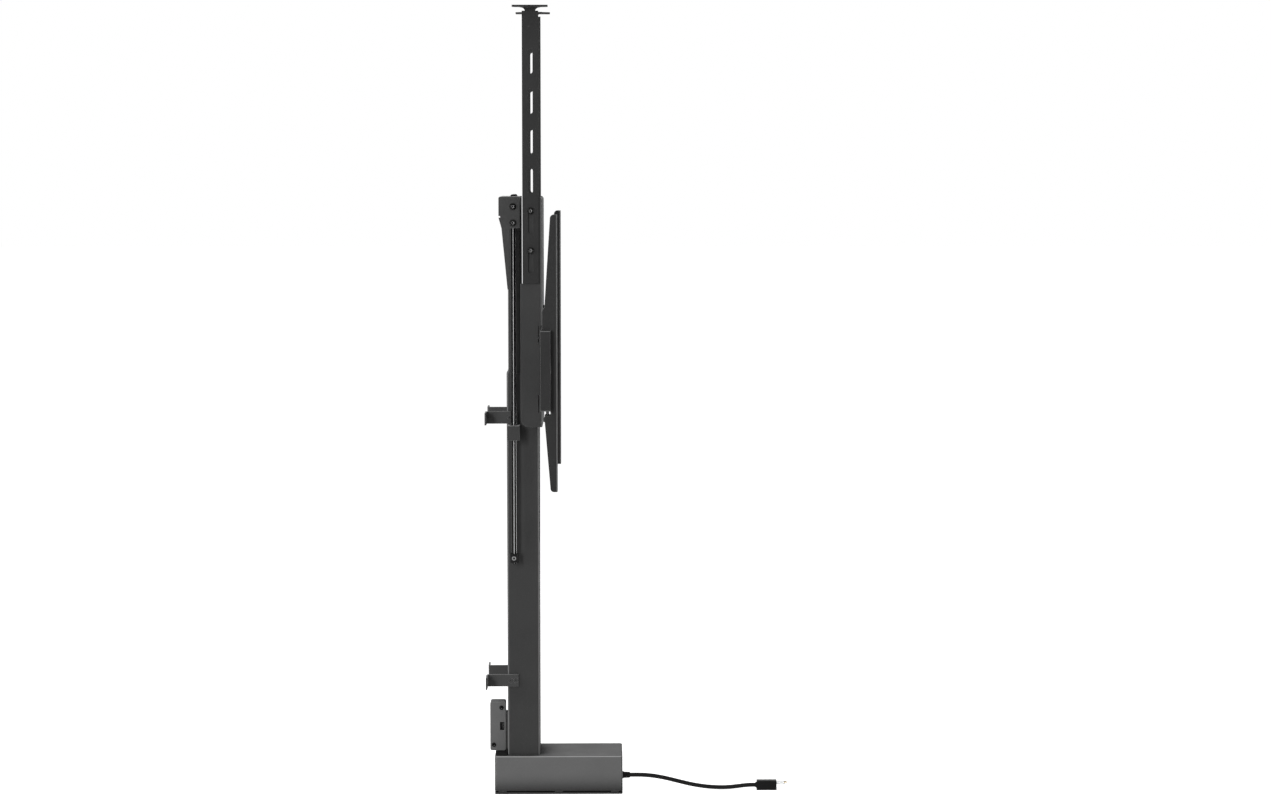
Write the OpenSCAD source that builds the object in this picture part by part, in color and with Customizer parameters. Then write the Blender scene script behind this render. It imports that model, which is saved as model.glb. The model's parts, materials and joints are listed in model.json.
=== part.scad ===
// Motorised television lift: a floor base with a gear motor, a slotted column, a mast
// that climbs on a lead screw, two side guide rods, and a carriage with lid posts and
// screen arms.  Millimetres, +Z up, origin on the floor under the column's axis,
// the screen faces -Y and the wall is at +Y.

/* [Base] */
// Width of the base across the column
base_w = 102; // [96:1:116]
// Height of the base from the floor to the housing's top
base_h = 60; // [56:1:80]
// Length of the base in front of the column
base_reach = 129; // [120:1:180]
// Length of the base behind the column
base_overhang = 20; // [18:1:40]
// Sheet thickness of the housing and its end covers
base_sheet = 2; // [1.5:0.1:3]
// Outer bend radius of the housing
base_edge_r = 3; // [2.5:0.1:3]
// Thickness of the floor plate
floor_plate_t = 3; // [2.8:0.1:5]
// Height of the pads that carry the housing
pad_h = 2; // [1.5:0.1:3]
// Width of the housing's inward bottom flange
base_flange_w = 8; // [7:0.5:9]

/* [Column] */
// Width of the column's tube
column_w = 80; // [76:1:90]
// Depth of the column's tube
column_d = 50; // [48:1:60]
// Height of the column above the base
column_h = 598; // [580:1:640]
// Wall of the column's tube
column_wall = 2; // [1.5:0.1:2.5]
// Outer corner radius of the column's tube
column_r = 4; // [3.5:0.1:6]
// Width of the front slot that the carriage spacers run in
slot_w = 44; // [42:1:50]
// Height of the slot's foot above the base
slot_foot = 330; // [300:1:350]
// Height of the foot block inside the column
foot_h = 28; // [26:1:30]

/* [Mast] */
// Depth of the mast's tube
mast_d = 20; // [19:0.5:20.5]
// Distance from the lead screw's middle to the mast's back
mast_back_d = 8.75; // [8.5:0.25:9.5]
// Wall of the mast's tube
mast_wall = 2; // [1.5:0.1:2.2]
// Length of the mast
mast_h = 628; // [610:1:660]
// Height of the mast's foot above the floor, as the lift stands
mast_foot = 300; // [290:1:310]
// Thickness of the side glides between mast and column
glide_t = 3; // [2.5:0.1:3.5]
// Gap between the mast's back and the column's inner face
mast_gap = 0.5; // [0.4:0.1:1]

/* [Drive] */
// Diameter of the lead screw
screw_d = 10; // [8:0.5:10.5]
// Height of the lead screw's top end above the floor
screw_top = 530; // [520:1:560]
// Number of teeth on the worm wheel
wheel_teeth = 24; // [20:1:25]
// Module of the worm wheel's teeth
wheel_module = 1.25; // [1.1:0.05:1.3]
// Thickness of the worm wheel
wheel_t = 12; // [10:0.5:13]
// Outer diameter of the worm
worm_d = 10.8; // [9.8:0.1:11]
// Diameter of the motor
motor_d = 34; // [30:0.5:35]
// Length of the motor's can
motor_l = 95; // [80:1:100]

/* [Head bracket and guide rods] */
// Width of the head bracket
head_w = 124; // [120:1:140]
// Sheet thickness of the head bracket
head_sheet = 2; // [1.5:0.1:3]
// Height of the closed upper part of the head bracket
head_h = 48; // [48:1:60]
// Height of the tapered side gussets below it
gusset_h = 94; // [80:1:100]
// Reach of the head bracket in front of the mast's middle
head_front = 10.5; // [10:0.5:12]
// Reach of the head bracket behind the mast's middle
head_back = 22; // [20:0.5:26]
// Diameter of the guide rods
rod_d = 8; // [7:0.5:9]
// Distance between the two guide rods
rod_spacing = 106; // [104:1:110]
// Length of the guide rods
rod_l = 563; // [540:1:580]
// Diameter of the stop collars at the rods' feet
stop_d = 14; // [12:0.5:15]
// Height of the stop collars
stop_h = 14; // [12:0.5:16]
// Distance from the column's top down to the guide blocks' middle
guide_drop = 91; // [90:1:98]
// Height of a guide block
guide_h = 22.5; // [20:0.5:25]
// Front-to-back width of a guide block
guide_d = 19; // [18:0.5:22]

/* [Carriage] */
// Width of the carriage
carriage_w = 168; // [160:1:190]
// Height of the carriage
carriage_h = 352; // [348:1:360]
// Sheet thickness of the carriage
carriage_sheet = 2.5; // [2:0.1:3]
// Gap between the column's front and the carriage's web
carriage_gap = 3.5; // [3:0.1:5]
// Depth of the carriage's side flanges
flange_d = 33; // [32:0.5:36]
// Depth cut off the side flanges beside the lid posts
flange_cut = 8; // [6:0.5:9]
// Height of that cut down from the carriage's top
flange_cut_h = 132; // [128:1:136]
// Radius of the side flanges' lower back corners
flange_corner_r = 13; // [10:1:26]

/* [Lid posts] */
// Front-to-back width of a lid post
post_w = 25; // [23:0.5:27]
// Sheet thickness of a lid post
post_t = 2.5; // [2:0.1:3]
// Length of a lid post up to its tab
post_l = 418; // [414:1:440]
// Distance from the carriage's front to the lid posts' middle
post_setback = 17; // [16:0.5:18]
// Pitch of the lid posts' slots
post_pitch = 60.5; // [60:0.5:62]
// Number of slots in a lid post
post_slots = 6; // [4:1:6]
// Width of a slot
post_slot_w = 7.2; // [7:0.1:9]
// Length of a slot from end to end
post_slot_l = 38; // [36:0.5:40]
// Width of the tab that carries the lid
tab_w = 54; // [50:1:64]
// Length of the tab out from the post
tab_l = 28; // [26:1:36]
// Width of the neck between post and tab
neck_w = 16; // [14:0.5:18]
// Diameter of the screw holes in the tab
tab_hole_d = 5; // [4:0.1:5.5]

/* [Screen mount] */
// Width of the mounting plate
plate_w = 450; // [440:1:520]
// Height of the mounting plate
plate_h = 120; // [118:1:126]
// Depth of the mounting plate's pan
plate_d = 15; // [14:0.5:18]
// Sheet thickness of the mounting plate
plate_sheet = 2; // [1.5:0.1:2.5]
// Height of the mounting plate's foot above the carriage's foot
plate_lift = 36; // [33:1:37]
// Distance between the two screen arms
arm_spacing = 400; // [396:1:410]
// Length of a screen arm
arm_l = 412; // [400:1:440]
// Width of a screen arm
arm_w = 30; // [28:1:36]
// Sheet thickness of a screen arm
arm_sheet = 2; // [1.5:0.1:2.5]
// Depth of a screen arm at its ends
arm_end_d = 10.5; // [9:0.5:11.5]
// Depth of a screen arm at its hooks
arm_hook_d = 19; // [17:0.5:20]
// Depth of a screen arm in front of the mounting plate
arm_waist_d = 9.5; // [8.5:0.5:11]
// Diameter of the screen screw holes
screen_hole_d = 7; // [6:0.1:8]
// Pitch of the screen screw holes up the arm
screen_hole_pitch = 50; // [48:1:52]

/* [Wall straps] */
// Height of a wall strap
strap_h = 19; // [16:0.5:20]
// Sheet thickness of a wall strap
strap_t = 2.5; // [2.2:0.1:3]
// Reach of a wall strap behind the column
strap_reach = 33; // [28:1:50]
// Overlap of a wall strap on the column's side
strap_overlap = 17; // [15:0.5:19]
// Length of a wall strap's ear out to the side
ear_w = 30; // [26:1:40]
// Diameter of the wall screw holes
ear_hole_d = 6.5; // [5:0.1:8]
// Gap between the upper straps and the guide blocks below them
strap_gap = 1.5; // [1:0.5:8]
// Height of the lower straps' middle above the base
lower_strap_rise = 118; // [112:0.5:140]

/* [Control box] */
// Width of the control box with its cover
box_w = 25; // [22:0.5:40]
// Depth of the control box
box_d = 24.5; // [22:0.5:28]
// Height of the control box
box_h = 77; // [75:1:100]
// Edge radius of the control box
box_r = 3; // [2:0.1:5]
// Wall of the control box and its cover
box_wall = 2; // [1.5:0.1:2.5]
// Height of the lead grommet between base and control box
grommet_h = 1.5; // [1:0.5:4]
// Thickness of the bracket between column and control box
box_bracket_t = 4; // [3:0.5:5]

/* [Motor lead] */
// Diameter of the motor lead
lead_d = 6.5; // [5:0.1:7]
// Length of the cable gland outside the base
gland_l = 12; // [11:0.5:13]
// Length of the plug's boot
boot_l = 33; // [28:0.5:40]
// Height of the plug's boot
boot_h = 15; // [14:0.5:16]
// Width of the plug's boot
boot_w = 14; // [12.5:0.5:18]
// Length of the clear plug
tip_l = 17; // [15:0.5:22]
// Width of the clear plug
tip_w = 11.7; // [11:0.1:12]
// Height of the clear plug
tip_h = 8; // [7:0.1:9]

/* [Fits] */
// Gap between faces that slide past each other
slide_gap = 0.3; // [0.2:0.05:0.5]
// Radial gap between a shaft and its bore
bore_gap = 0.05; // [0.03:0.01:0.08]
// Diameter of the small screws
small_screw_d = 4; // [3:0.1:4]
// Diameter of the large screws
large_screw_d = 6; // [5:0.1:6]

/* [Hidden] */
$fn = 48;

// Colours
charcoal = [0.23, 0.235, 0.24];
dark_grey = [0.19, 0.19, 0.195];
mid_grey = [0.38, 0.38, 0.385];
near_black = [0.07, 0.07, 0.075];
steel = [0.62, 0.62, 0.63];
bronze = [0.62, 0.48, 0.24];
pale_plastic = [0.82, 0.82, 0.8];
clear_plastic = [0.88, 0.9, 0.92, 0.5];

// Base
sides = [-1, 1];
overcut = 1;
base_front = column_d / 2 + base_reach;
base_back = column_d / 2 + base_overhang;
base_l = base_front + base_back;
base_mid_y = (base_back - base_front) / 2;
housing_z = floor_plate_t + pad_h;
pad_l = 12;
pad_inset = 12;
pad_ys = [base_back - pad_inset, base_mid_y, pad_inset - base_front];
flange_hole_x = base_w / 2 - base_flange_w / 2;
end_edge = 0.5;
end_post_w = 8;
end_post_d = 5;
end_post_h = 13;
end_post_x = base_w / 2 - base_flange_w - 1 - end_post_w / 2;
end_screw_z = floor_plate_t + end_post_h - 6;
end_screw_l = base_sheet + end_post_d;
pad_screw_l = floor_plate_t + pad_h + base_sheet;
small_head_r = 0.95 * small_screw_d;
small_r = small_screw_d / 2;
large_r = large_screw_d / 2;
hole_gap = 0.2;

// Mast and column
mast_w = column_w - 2 * (column_wall + glide_t);
mast_y = column_d / 2 - column_wall - mast_gap - mast_back_d;
mast_back = mast_y + mast_back_d;
mast_front = mast_back - mast_d;
mast_mid = mast_back - mast_d / 2;
mast_top = mast_foot + mast_h;
mast_cap_t = 8;
column_top = base_h + column_h;
foot_top = base_h + foot_h;
foot_gap = 0.2;
column_screw_z = base_h + foot_h / 2;
column_screw_x = column_w / 4;
column_screw_l = column_wall + 9;
glide_h = 28;
mast_glide_h = 30;

// Drive
screw_r = screw_d / 2;
wheel_tip_r = wheel_module * (wheel_teeth / 2 + 1);
wheel_root_r = wheel_module * (wheel_teeth / 2 - 1.25);
worm_r = worm_d / 2;
mesh_gap = 0.35;
worm_x = wheel_tip_r + worm_r + mesh_gap;
worm_cavity_r = worm_r + 0.4;
worm_shaft_r = 3;
worm_tail_l = 16;
worm_nose_l = 5;
worm_l = 1.6 * wheel_tip_r;
worm_end_gap = 0.5;
drive_z = floor_plate_t + motor_d / 2 + 4;
case_side_gap = 5;
case_half_w = column_w / 2 - column_wall - case_side_gap;
case_front_wall = 9;
case_back_wall = 4;
case_screw_inset = 3;
case_front = mast_y - wheel_tip_r - case_front_wall;
case_back = mast_y + wheel_tip_r + case_back_wall;
case_screw_x = case_half_w - case_screw_inset;
case_screw_ys = [case_front + case_screw_inset, case_back - case_back_wall];
case_screw_l = drive_z + 6;
bearing_r = screw_r + 6;
upper_bearing_r = screw_r + 3;
bearing_h = 8;
lower_bearing_z = floor_plate_t + 3;
upper_bearing_z = foot_top - 6 - bearing_h;
foot_bolt_inset = 4;
foot_bolt_x = case_half_w - foot_bolt_inset;
foot_bolt_ys = [mast_y - 19, mast_y + 5];
foot_bolt_r = 2.5;
foot_bolt_tip = drive_z + 10;
motor_end_l = 10;
nut_h = 40;
nut_flange_h = 6;
nut_half_w = 15;
nut_screw_zs = [mast_foot + 12, mast_foot + 28];
nut_screw_x = nut_half_w - 5;
nut_screw_l = mast_wall + 3;

// Head bracket and rods
head_top = mast_top + head_sheet;
head_y0 = mast_y - head_front;
head_y1 = mast_y + head_back;
block_z = head_top - head_h;
gusset_z = block_z - gusset_h;
gusset_y0 = mast_y + rod_d / 2 + 1;
gusset_tip_w = 3.5;
back_plate_h = 29.5;
relief = 2.5;
rod_x = rod_spacing / 2;
rod_r = rod_d / 2;
rod_top = mast_top - 2;
rod_foot = rod_top - rod_l;
clamp_z0 = block_z + 2;
clamp_screw_drops = [15, 40];
clamp_screw_zs = [for (drop = clamp_screw_drops) head_top - drop];
bush_wall = 2;
guide_z = column_top - guide_drop;
guide_side = 13;
guide_out = rod_x + guide_side;
bush_r = rod_r + bore_gap + bush_wall;
guide_screw_zs = [guide_z - guide_h / 4, guide_z + guide_h / 4];
guide_screw_gap = 1;
guide_screw_l = column_wall + rod_x - bush_r - bore_gap - column_w / 2 - guide_screw_gap;
low_head_h = 1.6;
head_screw_x = mast_w / 4;
head_screw_l = head_sheet + mast_cap_t - 1;
clamp_screw_gap = 0.1;
clamp_screw_l = head_w / 2 - rod_x - rod_r - clamp_screw_gap;

// Carriage
carriage_top = head_top;
carriage_foot = carriage_top - carriage_h;
web_back = -column_d / 2 - carriage_gap;
carriage_front = web_back - carriage_sheet;
carriage_bend_r = carriage_sheet + 1.5;
cut_z = carriage_top - flange_cut_h;
edge_slot_w = 1.5;
edge_slot_h = 28;
edge_slot_inset = carriage_bend_r + 0.5;
spacer_side_gap = 4;
spacer_w = slot_w - 2 * spacer_side_gap;
spacer_h = 40;
spacer_rise = 42;
spacer_drop = 11;
spacer_zs = [carriage_foot + spacer_rise, cut_z - spacer_drop - spacer_h];
spacer_bolt_inset = 8;
spacer_bolt_rise = 9;
spacer_bolt_x = spacer_w / 2 - spacer_bolt_inset;
carriage_bolt_l = carriage_sheet + carriage_gap + column_d / 2 + mast_front + mast_wall;
nut_t = 4;
bolt_tip = 2;
bolt_tail = nut_t + bolt_tip;

// Lid posts
post_y = carriage_front + post_setback;
post_x = carriage_w / 2 + slide_gap;
post_foot = cut_z;
post_top = post_foot + post_l;
slot_margin = 16;
slot_first_z = post_foot + slot_margin;
post_bolt_zs = [for (i = [0, 1]) slot_first_z + i * post_pitch + post_slot_l - post_slot_w / 2];
tab_hole_x = 0.65 * tab_l;
tab_hole_y = tab_w / 2 - 5;
hang_hole_d = 5;
post_bolt_l = post_t + 2 * slide_gap + carriage_sheet + bolt_tail;

// Screen mount
plate_z0 = carriage_foot + plate_lift;
plate_z1 = plate_z0 + plate_h;
edge_slot_zs = [plate_z0 - edge_slot_h / 2, plate_z1 - edge_slot_h];
plate_front = carriage_front - plate_d;
plate_boss_r = 8;
plate_bolt_side = 24;
plate_bolt_edge = 27;
plate_bolt_x = carriage_w / 2 - plate_bolt_side;
plate_bolt_zs = [plate_z0 + plate_bolt_edge, plate_z1 - plate_bolt_edge];
window_h = 30;
window_margin = 15;
plate_bolt_l = plate_d + carriage_sheet + bolt_tail;
arm_gap = 0.5;
arm_front = plate_front - arm_gap - arm_waist_d;
arm_raise = 25;
arm_mid_z = (plate_z0 + plate_z1) / 2 + arm_raise;
arm_z0 = arm_mid_z - arm_l / 2;
arm_z1 = arm_mid_z + arm_l / 2;
arm_end_r = 5;
hook_finger_h = 34;
hook_finger_d = arm_hook_d + 3.5;
lock_gap = 7;
lock_tab_t = 3;
lock_y = plate_front + 5;
lock_tab_z = plate_z0 - lock_gap - lock_tab_t;
lock_knob_r = 6;
lock_knob_h = 8;
lock_r = 2.5;

// Wall straps
strap_screw_inset = 4;
strap_screw_pitch = 8;
upper_strap_z = guide_z + guide_h / 2 + strap_gap + strap_h / 2;
lower_strap_z = base_h + lower_strap_rise;
strap_y0 = column_d / 2 - strap_overlap;
strap_y1 = column_d / 2 + strap_reach;
strap_screw_ys = [strap_y0 + strap_screw_inset, strap_y0 + strap_screw_inset + strap_screw_pitch];
strap_screw_l = strap_t + column_wall;
ear_hole_x = column_w / 2 + strap_t + ear_w / 2;

// Control box
box_z0 = base_h + grommet_h;
box_z1 = box_z0 + box_h;
box_y0 = column_d / 2 + box_bracket_t;
box_mid_y = box_y0 + box_d / 2;
box_mid_z = (box_z0 + box_z1) / 2;
box_screw_front = 6.7;
box_screw_inset = 5.5;
box_screw_rise = 9;
box_screw_spots = [[box_screw_front - box_d / 2, box_h / 2 - box_screw_rise],
                   [box_d / 2 - box_screw_inset, box_screw_rise - box_h / 2]];
box_bracket_h = 58;
box_bracket_w = 20;
box_screw_l = 14;
box_boss_r = 4;
grommet_margin = 5;
grommet_w = base_w - 2 * grommet_margin;
grommet_r = 2;
grommet_hole_r = 3;
grommet_edge = 2;
grommet_setback = 10;
grommet_y0 = column_d / 2 + grommet_edge / 2;
grommet_y1 = min(base_back - base_sheet, box_y0 + box_d - grommet_setback);
grommet_y = grommet_y1 - grommet_hole_r - grommet_edge;

// Motor lead: the route's points, from the gland down to the floor and along it to the plug
lead_x = -22;
lead_route = [
  [lead_x, -166, 24], [lead_x, -178, 24], [lead_x, -190, 23.6], [lead_x, -202, 22.4],
  [lead_x, -214, 20.4], [lead_x, -226, 17.8], [lead_x, -238, 14.8], [lead_x, -250, 11.8],
  [lead_x, -262, 9], [lead_x, -274, 6.8], [lead_x, -286, 5.2], [lead_x, -298, 4.2],
  [lead_x, -310, 3.8], [lead_x, -322, 4.2], [lead_x, -334, 5.4], [lead_x, -346, 6.8],
  [lead_x, -357, 7.5], [lead_x, -363, 7.5]
];
lead_sides = 10;
gland_thread_r = 5;
gland_nut_r = 6.5;
gland_collar_r = 5.8;
gland_nose_r = 4.6;
collar_wall = 0.8;
gland_inner_l = 10;
gland_z = lead_route[0][2];
boot_y = lead_route[len(lead_route) - 1][1];
boot_z = lead_route[len(lead_route) - 1][2];

// Points of an arc of radius r about a centre, from one angle to another
function arc(centre, r, a0, a1, steps = 6) =
  [for (i = [0:steps]) centre + r * [cos(a0 + (a1 - a0) * i / steps), sin(a0 + (a1 - a0) * i / steps)]];

function unit(v) = v / norm(v);

// Direction of a route at point i
function heading(route, i) =
  unit(route[min(i + 1, len(route) - 1)] - route[max(i - 1, 0)]);

// Ring of points round a route that runs in a plane of constant X
function ring(route, i, r, count) =
  let (along = heading(route, i), across = [1, 0, 0], up = cross(across, along))
  [for (k = [0:count - 1]) route[i] + r * (cos(360 * k / count) * across + sin(360 * k / count) * up)];

// Flat rectangle with round corners, on its middle
module rounded_rect(w, d, r) {
  square([w - 2 * r, d], center = true);
  square([w, d - 2 * r], center = true);
  for (x = sides, y = sides)
    translate([x * (w / 2 - r), y * (d / 2 - r)]) circle(r);
}

// Flat slot with round ends, its length along the second axis
module slot_outline(w, l) {
  square([w, l - w], center = true);
  for (s = sides) translate([0, s * (l - w) / 2]) circle(w / 2);
}

// Outline drawn in Y and Z, given a thickness along X from x0
module upright(x0, thickness) {
  translate([x0, 0, 0]) rotate([90, 0, 90]) linear_extrude(thickness) children();
}

// Outline drawn in X and Z, given a length along Y from y0
module lengthwise(y0, l) {
  translate([0, y0 + l, 0]) rotate([90, 0, 0]) linear_extrude(l) children();
}

// Box between two corners
module block(low, high) {
  translate(low) cube(high - low);
}

// Round bars along Y and along Z
module bar_y(r, y0, y1, x, z) {
  translate([x, y0, z]) rotate([-90, 0, 0]) cylinder(r = r, h = y1 - y0);
}

module bar_z(r, z0, z1, x, y) {
  translate([x, y, z0]) cylinder(r = r, h = z1 - z0);
}

// Turns a piece that points along +Z so that it points along +X or -X
module facing_x(side) {
  rotate([0, side * 90, 0]) children();
}

// Turns a piece that points along +Z so that it points along +Y or -Y
module facing_y(side) {
  rotate([-side * 90, 0, 0]) children();
}

// Button-head screw: its head stands on z = 0 and its shank runs down from there
module button_screw(r, l) {
  head_r = 1.7 * r;
  head_h = 1.1 * r;
  difference() {
    rotate_extrude()
      polygon([[0, -l], [r, -l], [r, 0], [head_r, 0], [head_r, 0.3 * head_h],
               [0.8 * head_r, 0.8 * head_h], [0.5 * head_r, head_h], [0, head_h]]);
    translate([0, 0, 0.4 * head_h]) cylinder(r = 0.65 * r, h = head_h, $fn = 6);
  }
}

// Countersunk screw: its flat head is level with z = 0
module flush_screw(r, head_r, l) {
  difference() {
    rotate_extrude()
      polygon([[0, -l], [r, -l], [r, r - head_r], [head_r, 0], [0, 0]]);
    translate([0, 0, -0.45 * r]) cylinder(r = 0.6 * r, h = r, $fn = 6);
  }
}

// Space that a countersunk screw needs
module flush_hole(r, head_r, l) {
  gap = hole_gap;
  rotate_extrude()
    polygon([[0, -l], [r + gap, -l], [r + gap, r - head_r], [head_r + gap, 0],
             [head_r + gap, overcut], [0, overcut]]);
}

// Low-head screw: its thin head stands on z = 0
module low_screw(r, l) {
  bar_z(r, -l, 0, 0, 0);
  bar_z(1.6 * r, 0, low_head_h, 0, 0);
}

// Places of the screws that come up through the floor plate: pads first, gear case next
module at_pad_screws() {
  for (x = sides, y = pad_ys) translate([x * flange_hole_x, y, 0]) rotate([180, 0, 0]) children();
}

module at_case_screws() {
  for (x = sides, y = case_screw_ys) translate([x * case_screw_x, y, 0]) rotate([180, 0, 0]) children();
}

module at_end_screws(end) {
  y = end > 0 ? base_back : -base_front;
  for (x = sides) translate([x * end_post_x, y, end_screw_z]) facing_y(end) children();
}

// Flat plate on the floor, with pads for the housing and posts for the end covers
module base_plate() {
  color(mid_grey)
    difference() {
      union() {
        translate([0, base_mid_y, 0]) linear_extrude(floor_plate_t) rounded_rect(base_w, base_l, base_edge_r);
        for (x = sides, y = pad_ys)
          translate([x * flange_hole_x, y, floor_plate_t])
            translate([-base_flange_w / 2, -pad_l / 2, 0]) cube([base_flange_w, pad_l, pad_h]);
        for (x = sides, y = [base_back - base_sheet - end_post_d, base_sheet - base_front])
          translate([x * end_post_x - end_post_w / 2, y, floor_plate_t])
            cube([end_post_w, end_post_d, end_post_h]);
      }
      at_pad_screws() flush_hole(small_r, small_head_r, pad_screw_l + overcut);
      at_case_screws() flush_hole(small_r, small_head_r, floor_plate_t + overcut);
      for (end = sides) at_end_screws(end) flush_hole(small_r, small_head_r, end_screw_l + overcut);
    }
}

// Cross-section of the housing: a top, two sides and two flanges turned in at the bottom
module housing_section() {
  mid_z = (housing_z + base_h) / 2;
  h = base_h - housing_z;
  difference() {
    union() {
      translate([0, mid_z]) rounded_rect(base_w, h, base_edge_r);
      translate([-base_w / 2, housing_z]) square([base_w, h / 2]);
    }
    translate([0, mid_z])
      rounded_rect(base_w - 2 * base_sheet, h - 2 * base_sheet, base_edge_r - base_sheet + 0.5);
    translate([base_flange_w - base_w / 2, housing_z - overcut])
      square([base_w - 2 * base_flange_w, base_sheet + 2 * overcut]);
  }
}

module base_housing() {
  color(mid_grey)
    difference() {
      lengthwise(base_sheet - base_front, base_l - 2 * base_sheet) housing_section();
      bar_z(screw_r + 3, base_h - 2 * base_sheet, base_h + overcut, 0, mast_y);
      for (x = sides, y = foot_bolt_ys)
        bar_z(foot_bolt_r + hole_gap, base_h - 2 * base_sheet, base_h + overcut, x * foot_bolt_x, y);
      at_pad_screws() flush_hole(small_r, small_head_r, pad_screw_l + overcut);
      bar_z(grommet_hole_r, base_h - 2 * base_sheet, base_h + overcut, 0, grommet_y);
    }
}

// Cover over one open end of the housing
module end_cover(end) {
  h = base_h - housing_z - end_edge;
  y = end > 0 ? base_back - base_sheet : -base_front;
  difference() {
    lengthwise(y, base_sheet)
      translate([0, housing_z + h / 2]) rounded_rect(base_w - 2 * end_edge, h, base_edge_r);
    at_end_screws(end) flush_hole(small_r, small_head_r, end_screw_l);
    children();
  }
}

module front_end_cover() {
  y0 = -base_front - overcut;
  y1 = base_sheet - base_front + overcut;
  color(mid_grey) end_cover(-1) bar_y(gland_thread_r + hole_gap, y0, y1, lead_x, gland_z);
}

module rear_end_cover() {
  color(mid_grey) end_cover(1);
}

module base_screws() {
  color(steel) {
    at_pad_screws() flush_screw(small_r, small_head_r, pad_screw_l);
    at_case_screws() flush_screw(small_r, small_head_r, case_screw_l);
    for (end = sides) at_end_screws(end) flush_screw(small_r, small_head_r, end_screw_l);
  }
}

// Hollow that the worm, the wheel and the lower bearing turn in
module drive_hollow() {
  bar_z(wheel_tip_r + 1, drive_z - wheel_t / 2 - 1, drive_z + wheel_t / 2 + 1, 0, mast_y);
  bar_z(bearing_r + bore_gap, lower_bearing_z, drive_z, 0, mast_y);
  bar_z(screw_r + 1, drive_z, base_h, 0, mast_y);
  bar_y(worm_cavity_r, mast_y - worm_l / 2 - 1, mast_y + worm_l / 2 + 1, -worm_x, drive_z);
  worm_end = mast_y + worm_l / 2 + worm_nose_l + worm_end_gap;
  bar_y(worm_shaft_r + bore_gap, case_front - overcut, worm_end, -worm_x, drive_z);
}

// Lower half of the gear case, standing on the floor plate
module gear_case() {
  color(steel)
    difference() {
      block([-case_half_w, case_front, floor_plate_t], [case_half_w, case_back, drive_z]);
      drive_hollow();
      at_case_screws() bar_z(small_r + hole_gap, -case_screw_l - overcut, 0, 0, 0);
    }
}

// Upper half of the gear case, against the underside of the housing's top
module gear_cap() {
  color(steel)
    difference() {
      block([-case_half_w, case_front, drive_z], [case_half_w, case_back, base_h - base_sheet]);
      drive_hollow();
      at_case_screws() bar_z(small_r + hole_gap, -case_screw_l - overcut, 0, 0, 0);
      for (x = sides, y = foot_bolt_ys)
        bar_z(foot_bolt_r + hole_gap, foot_bolt_tip - overcut, base_h, x * foot_bolt_x, y);
    }
}

// Motor lying along the base, against the gear case
module motor_body() {
  color(near_black)
    difference() {
      union() {
        bar_y(motor_d / 2, case_front - motor_l, case_front - 4, -worm_x, drive_z);
        bar_y(motor_d / 2 - 3, case_front - 4, case_front, -worm_x, drive_z);
      }
      bar_y(worm_shaft_r + bore_gap, case_front - worm_tail_l - overcut, case_front + overcut,
            -worm_x, drive_z);
    }
}

module motor_end_cap() {
  y1 = case_front - motor_l;
  color(pale_plastic) bar_y(motor_d / 2 - 2, y1 - motor_end_l, y1, -worm_x, drive_z);
}

// Wires inside the base, from the motor to the gland
module motor_wires() {
  color(near_black)
    bar_y(lead_d / 2 - 0.5, gland_inner_l - base_front, case_front - motor_l - motor_end_l, lead_x, gland_z);
}

// Lead screw bearings: one in the gear case and one in the column's foot
module screw_bearings() {
  color(steel)
    for (bearing = [[lower_bearing_z, bearing_r], [upper_bearing_z, upper_bearing_r]])
      translate([0, mast_y, bearing[0]])
        difference() {
          cylinder(r = bearing[1], h = bearing_h);
          bar_z(screw_r + bore_gap, -overcut, bearing_h + overcut, 0, 0);
        }
}

// Block in the column's foot, bolted through the housing to the gear case
module column_foot() {
  w = column_w - 2 * column_wall - 2 * foot_gap;
  d = column_d - 2 * column_wall - 2 * foot_gap;
  color(steel)
    difference() {
      translate([0, 0, base_h]) linear_extrude(foot_h) rounded_rect(w, d, column_r - column_wall + 0.5);
      bar_z(screw_r + 1, base_h - overcut, foot_top + overcut, 0, mast_y);
      bar_z(upper_bearing_r + bore_gap, upper_bearing_z, foot_top + overcut, 0, mast_y);
      for (x = sides, y = foot_bolt_ys)
        bar_z(foot_bolt_r + hole_gap, base_h - overcut, foot_top + overcut, x * foot_bolt_x, y);
      at_column_screws() bar_z(small_r + hole_gap, -column_screw_l - overcut, overcut, 0, 0);
    }
}

module foot_bolts() {
  color(steel)
    for (x = sides, y = foot_bolt_ys) {
      bar_z(foot_bolt_r, foot_bolt_tip, foot_top, x * foot_bolt_x, y);
      bar_z(1.6 * foot_bolt_r, foot_top, foot_top + low_head_h, x * foot_bolt_x, y);
    }
}

module at_column_screws() {
  for (x = sides, y = sides)
    translate([x * column_screw_x, y * column_d / 2, column_screw_z]) facing_y(y) children();
}

module at_strap_screws() {
  for (x = sides, y = strap_screw_ys, z = [lower_strap_z, upper_strap_z])
    translate([x * (column_w / 2 + strap_t), y, z]) facing_x(x) children();
}

module at_guide_screws() {
  for (x = sides, z = guide_screw_zs)
    translate([x * (column_w / 2 - column_wall), mast_y, z]) facing_x(-x) children();
}

// Slotted column tube
module outer_column() {
  color(charcoal)
    difference() {
      translate([0, 0, base_h])
        linear_extrude(column_h)
          difference() {
            rounded_rect(column_w, column_d, column_r);
            rounded_rect(column_w - 2 * column_wall, column_d - 2 * column_wall, column_r - column_wall);
          }
      block([-slot_w / 2, -column_d / 2 - overcut, base_h + slot_foot],
            [slot_w / 2, -column_d / 2 + column_wall + overcut, column_top + overcut]);
      at_column_screws() flush_hole(small_r, small_head_r, column_screw_l);
      at_strap_screws() bar_z(small_r + hole_gap, -strap_screw_l - overcut, overcut, 0, 0);
      at_guide_screws() bar_z(small_r + hole_gap, -guide_screw_l, overcut, 0, 0);
    }
}

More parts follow.
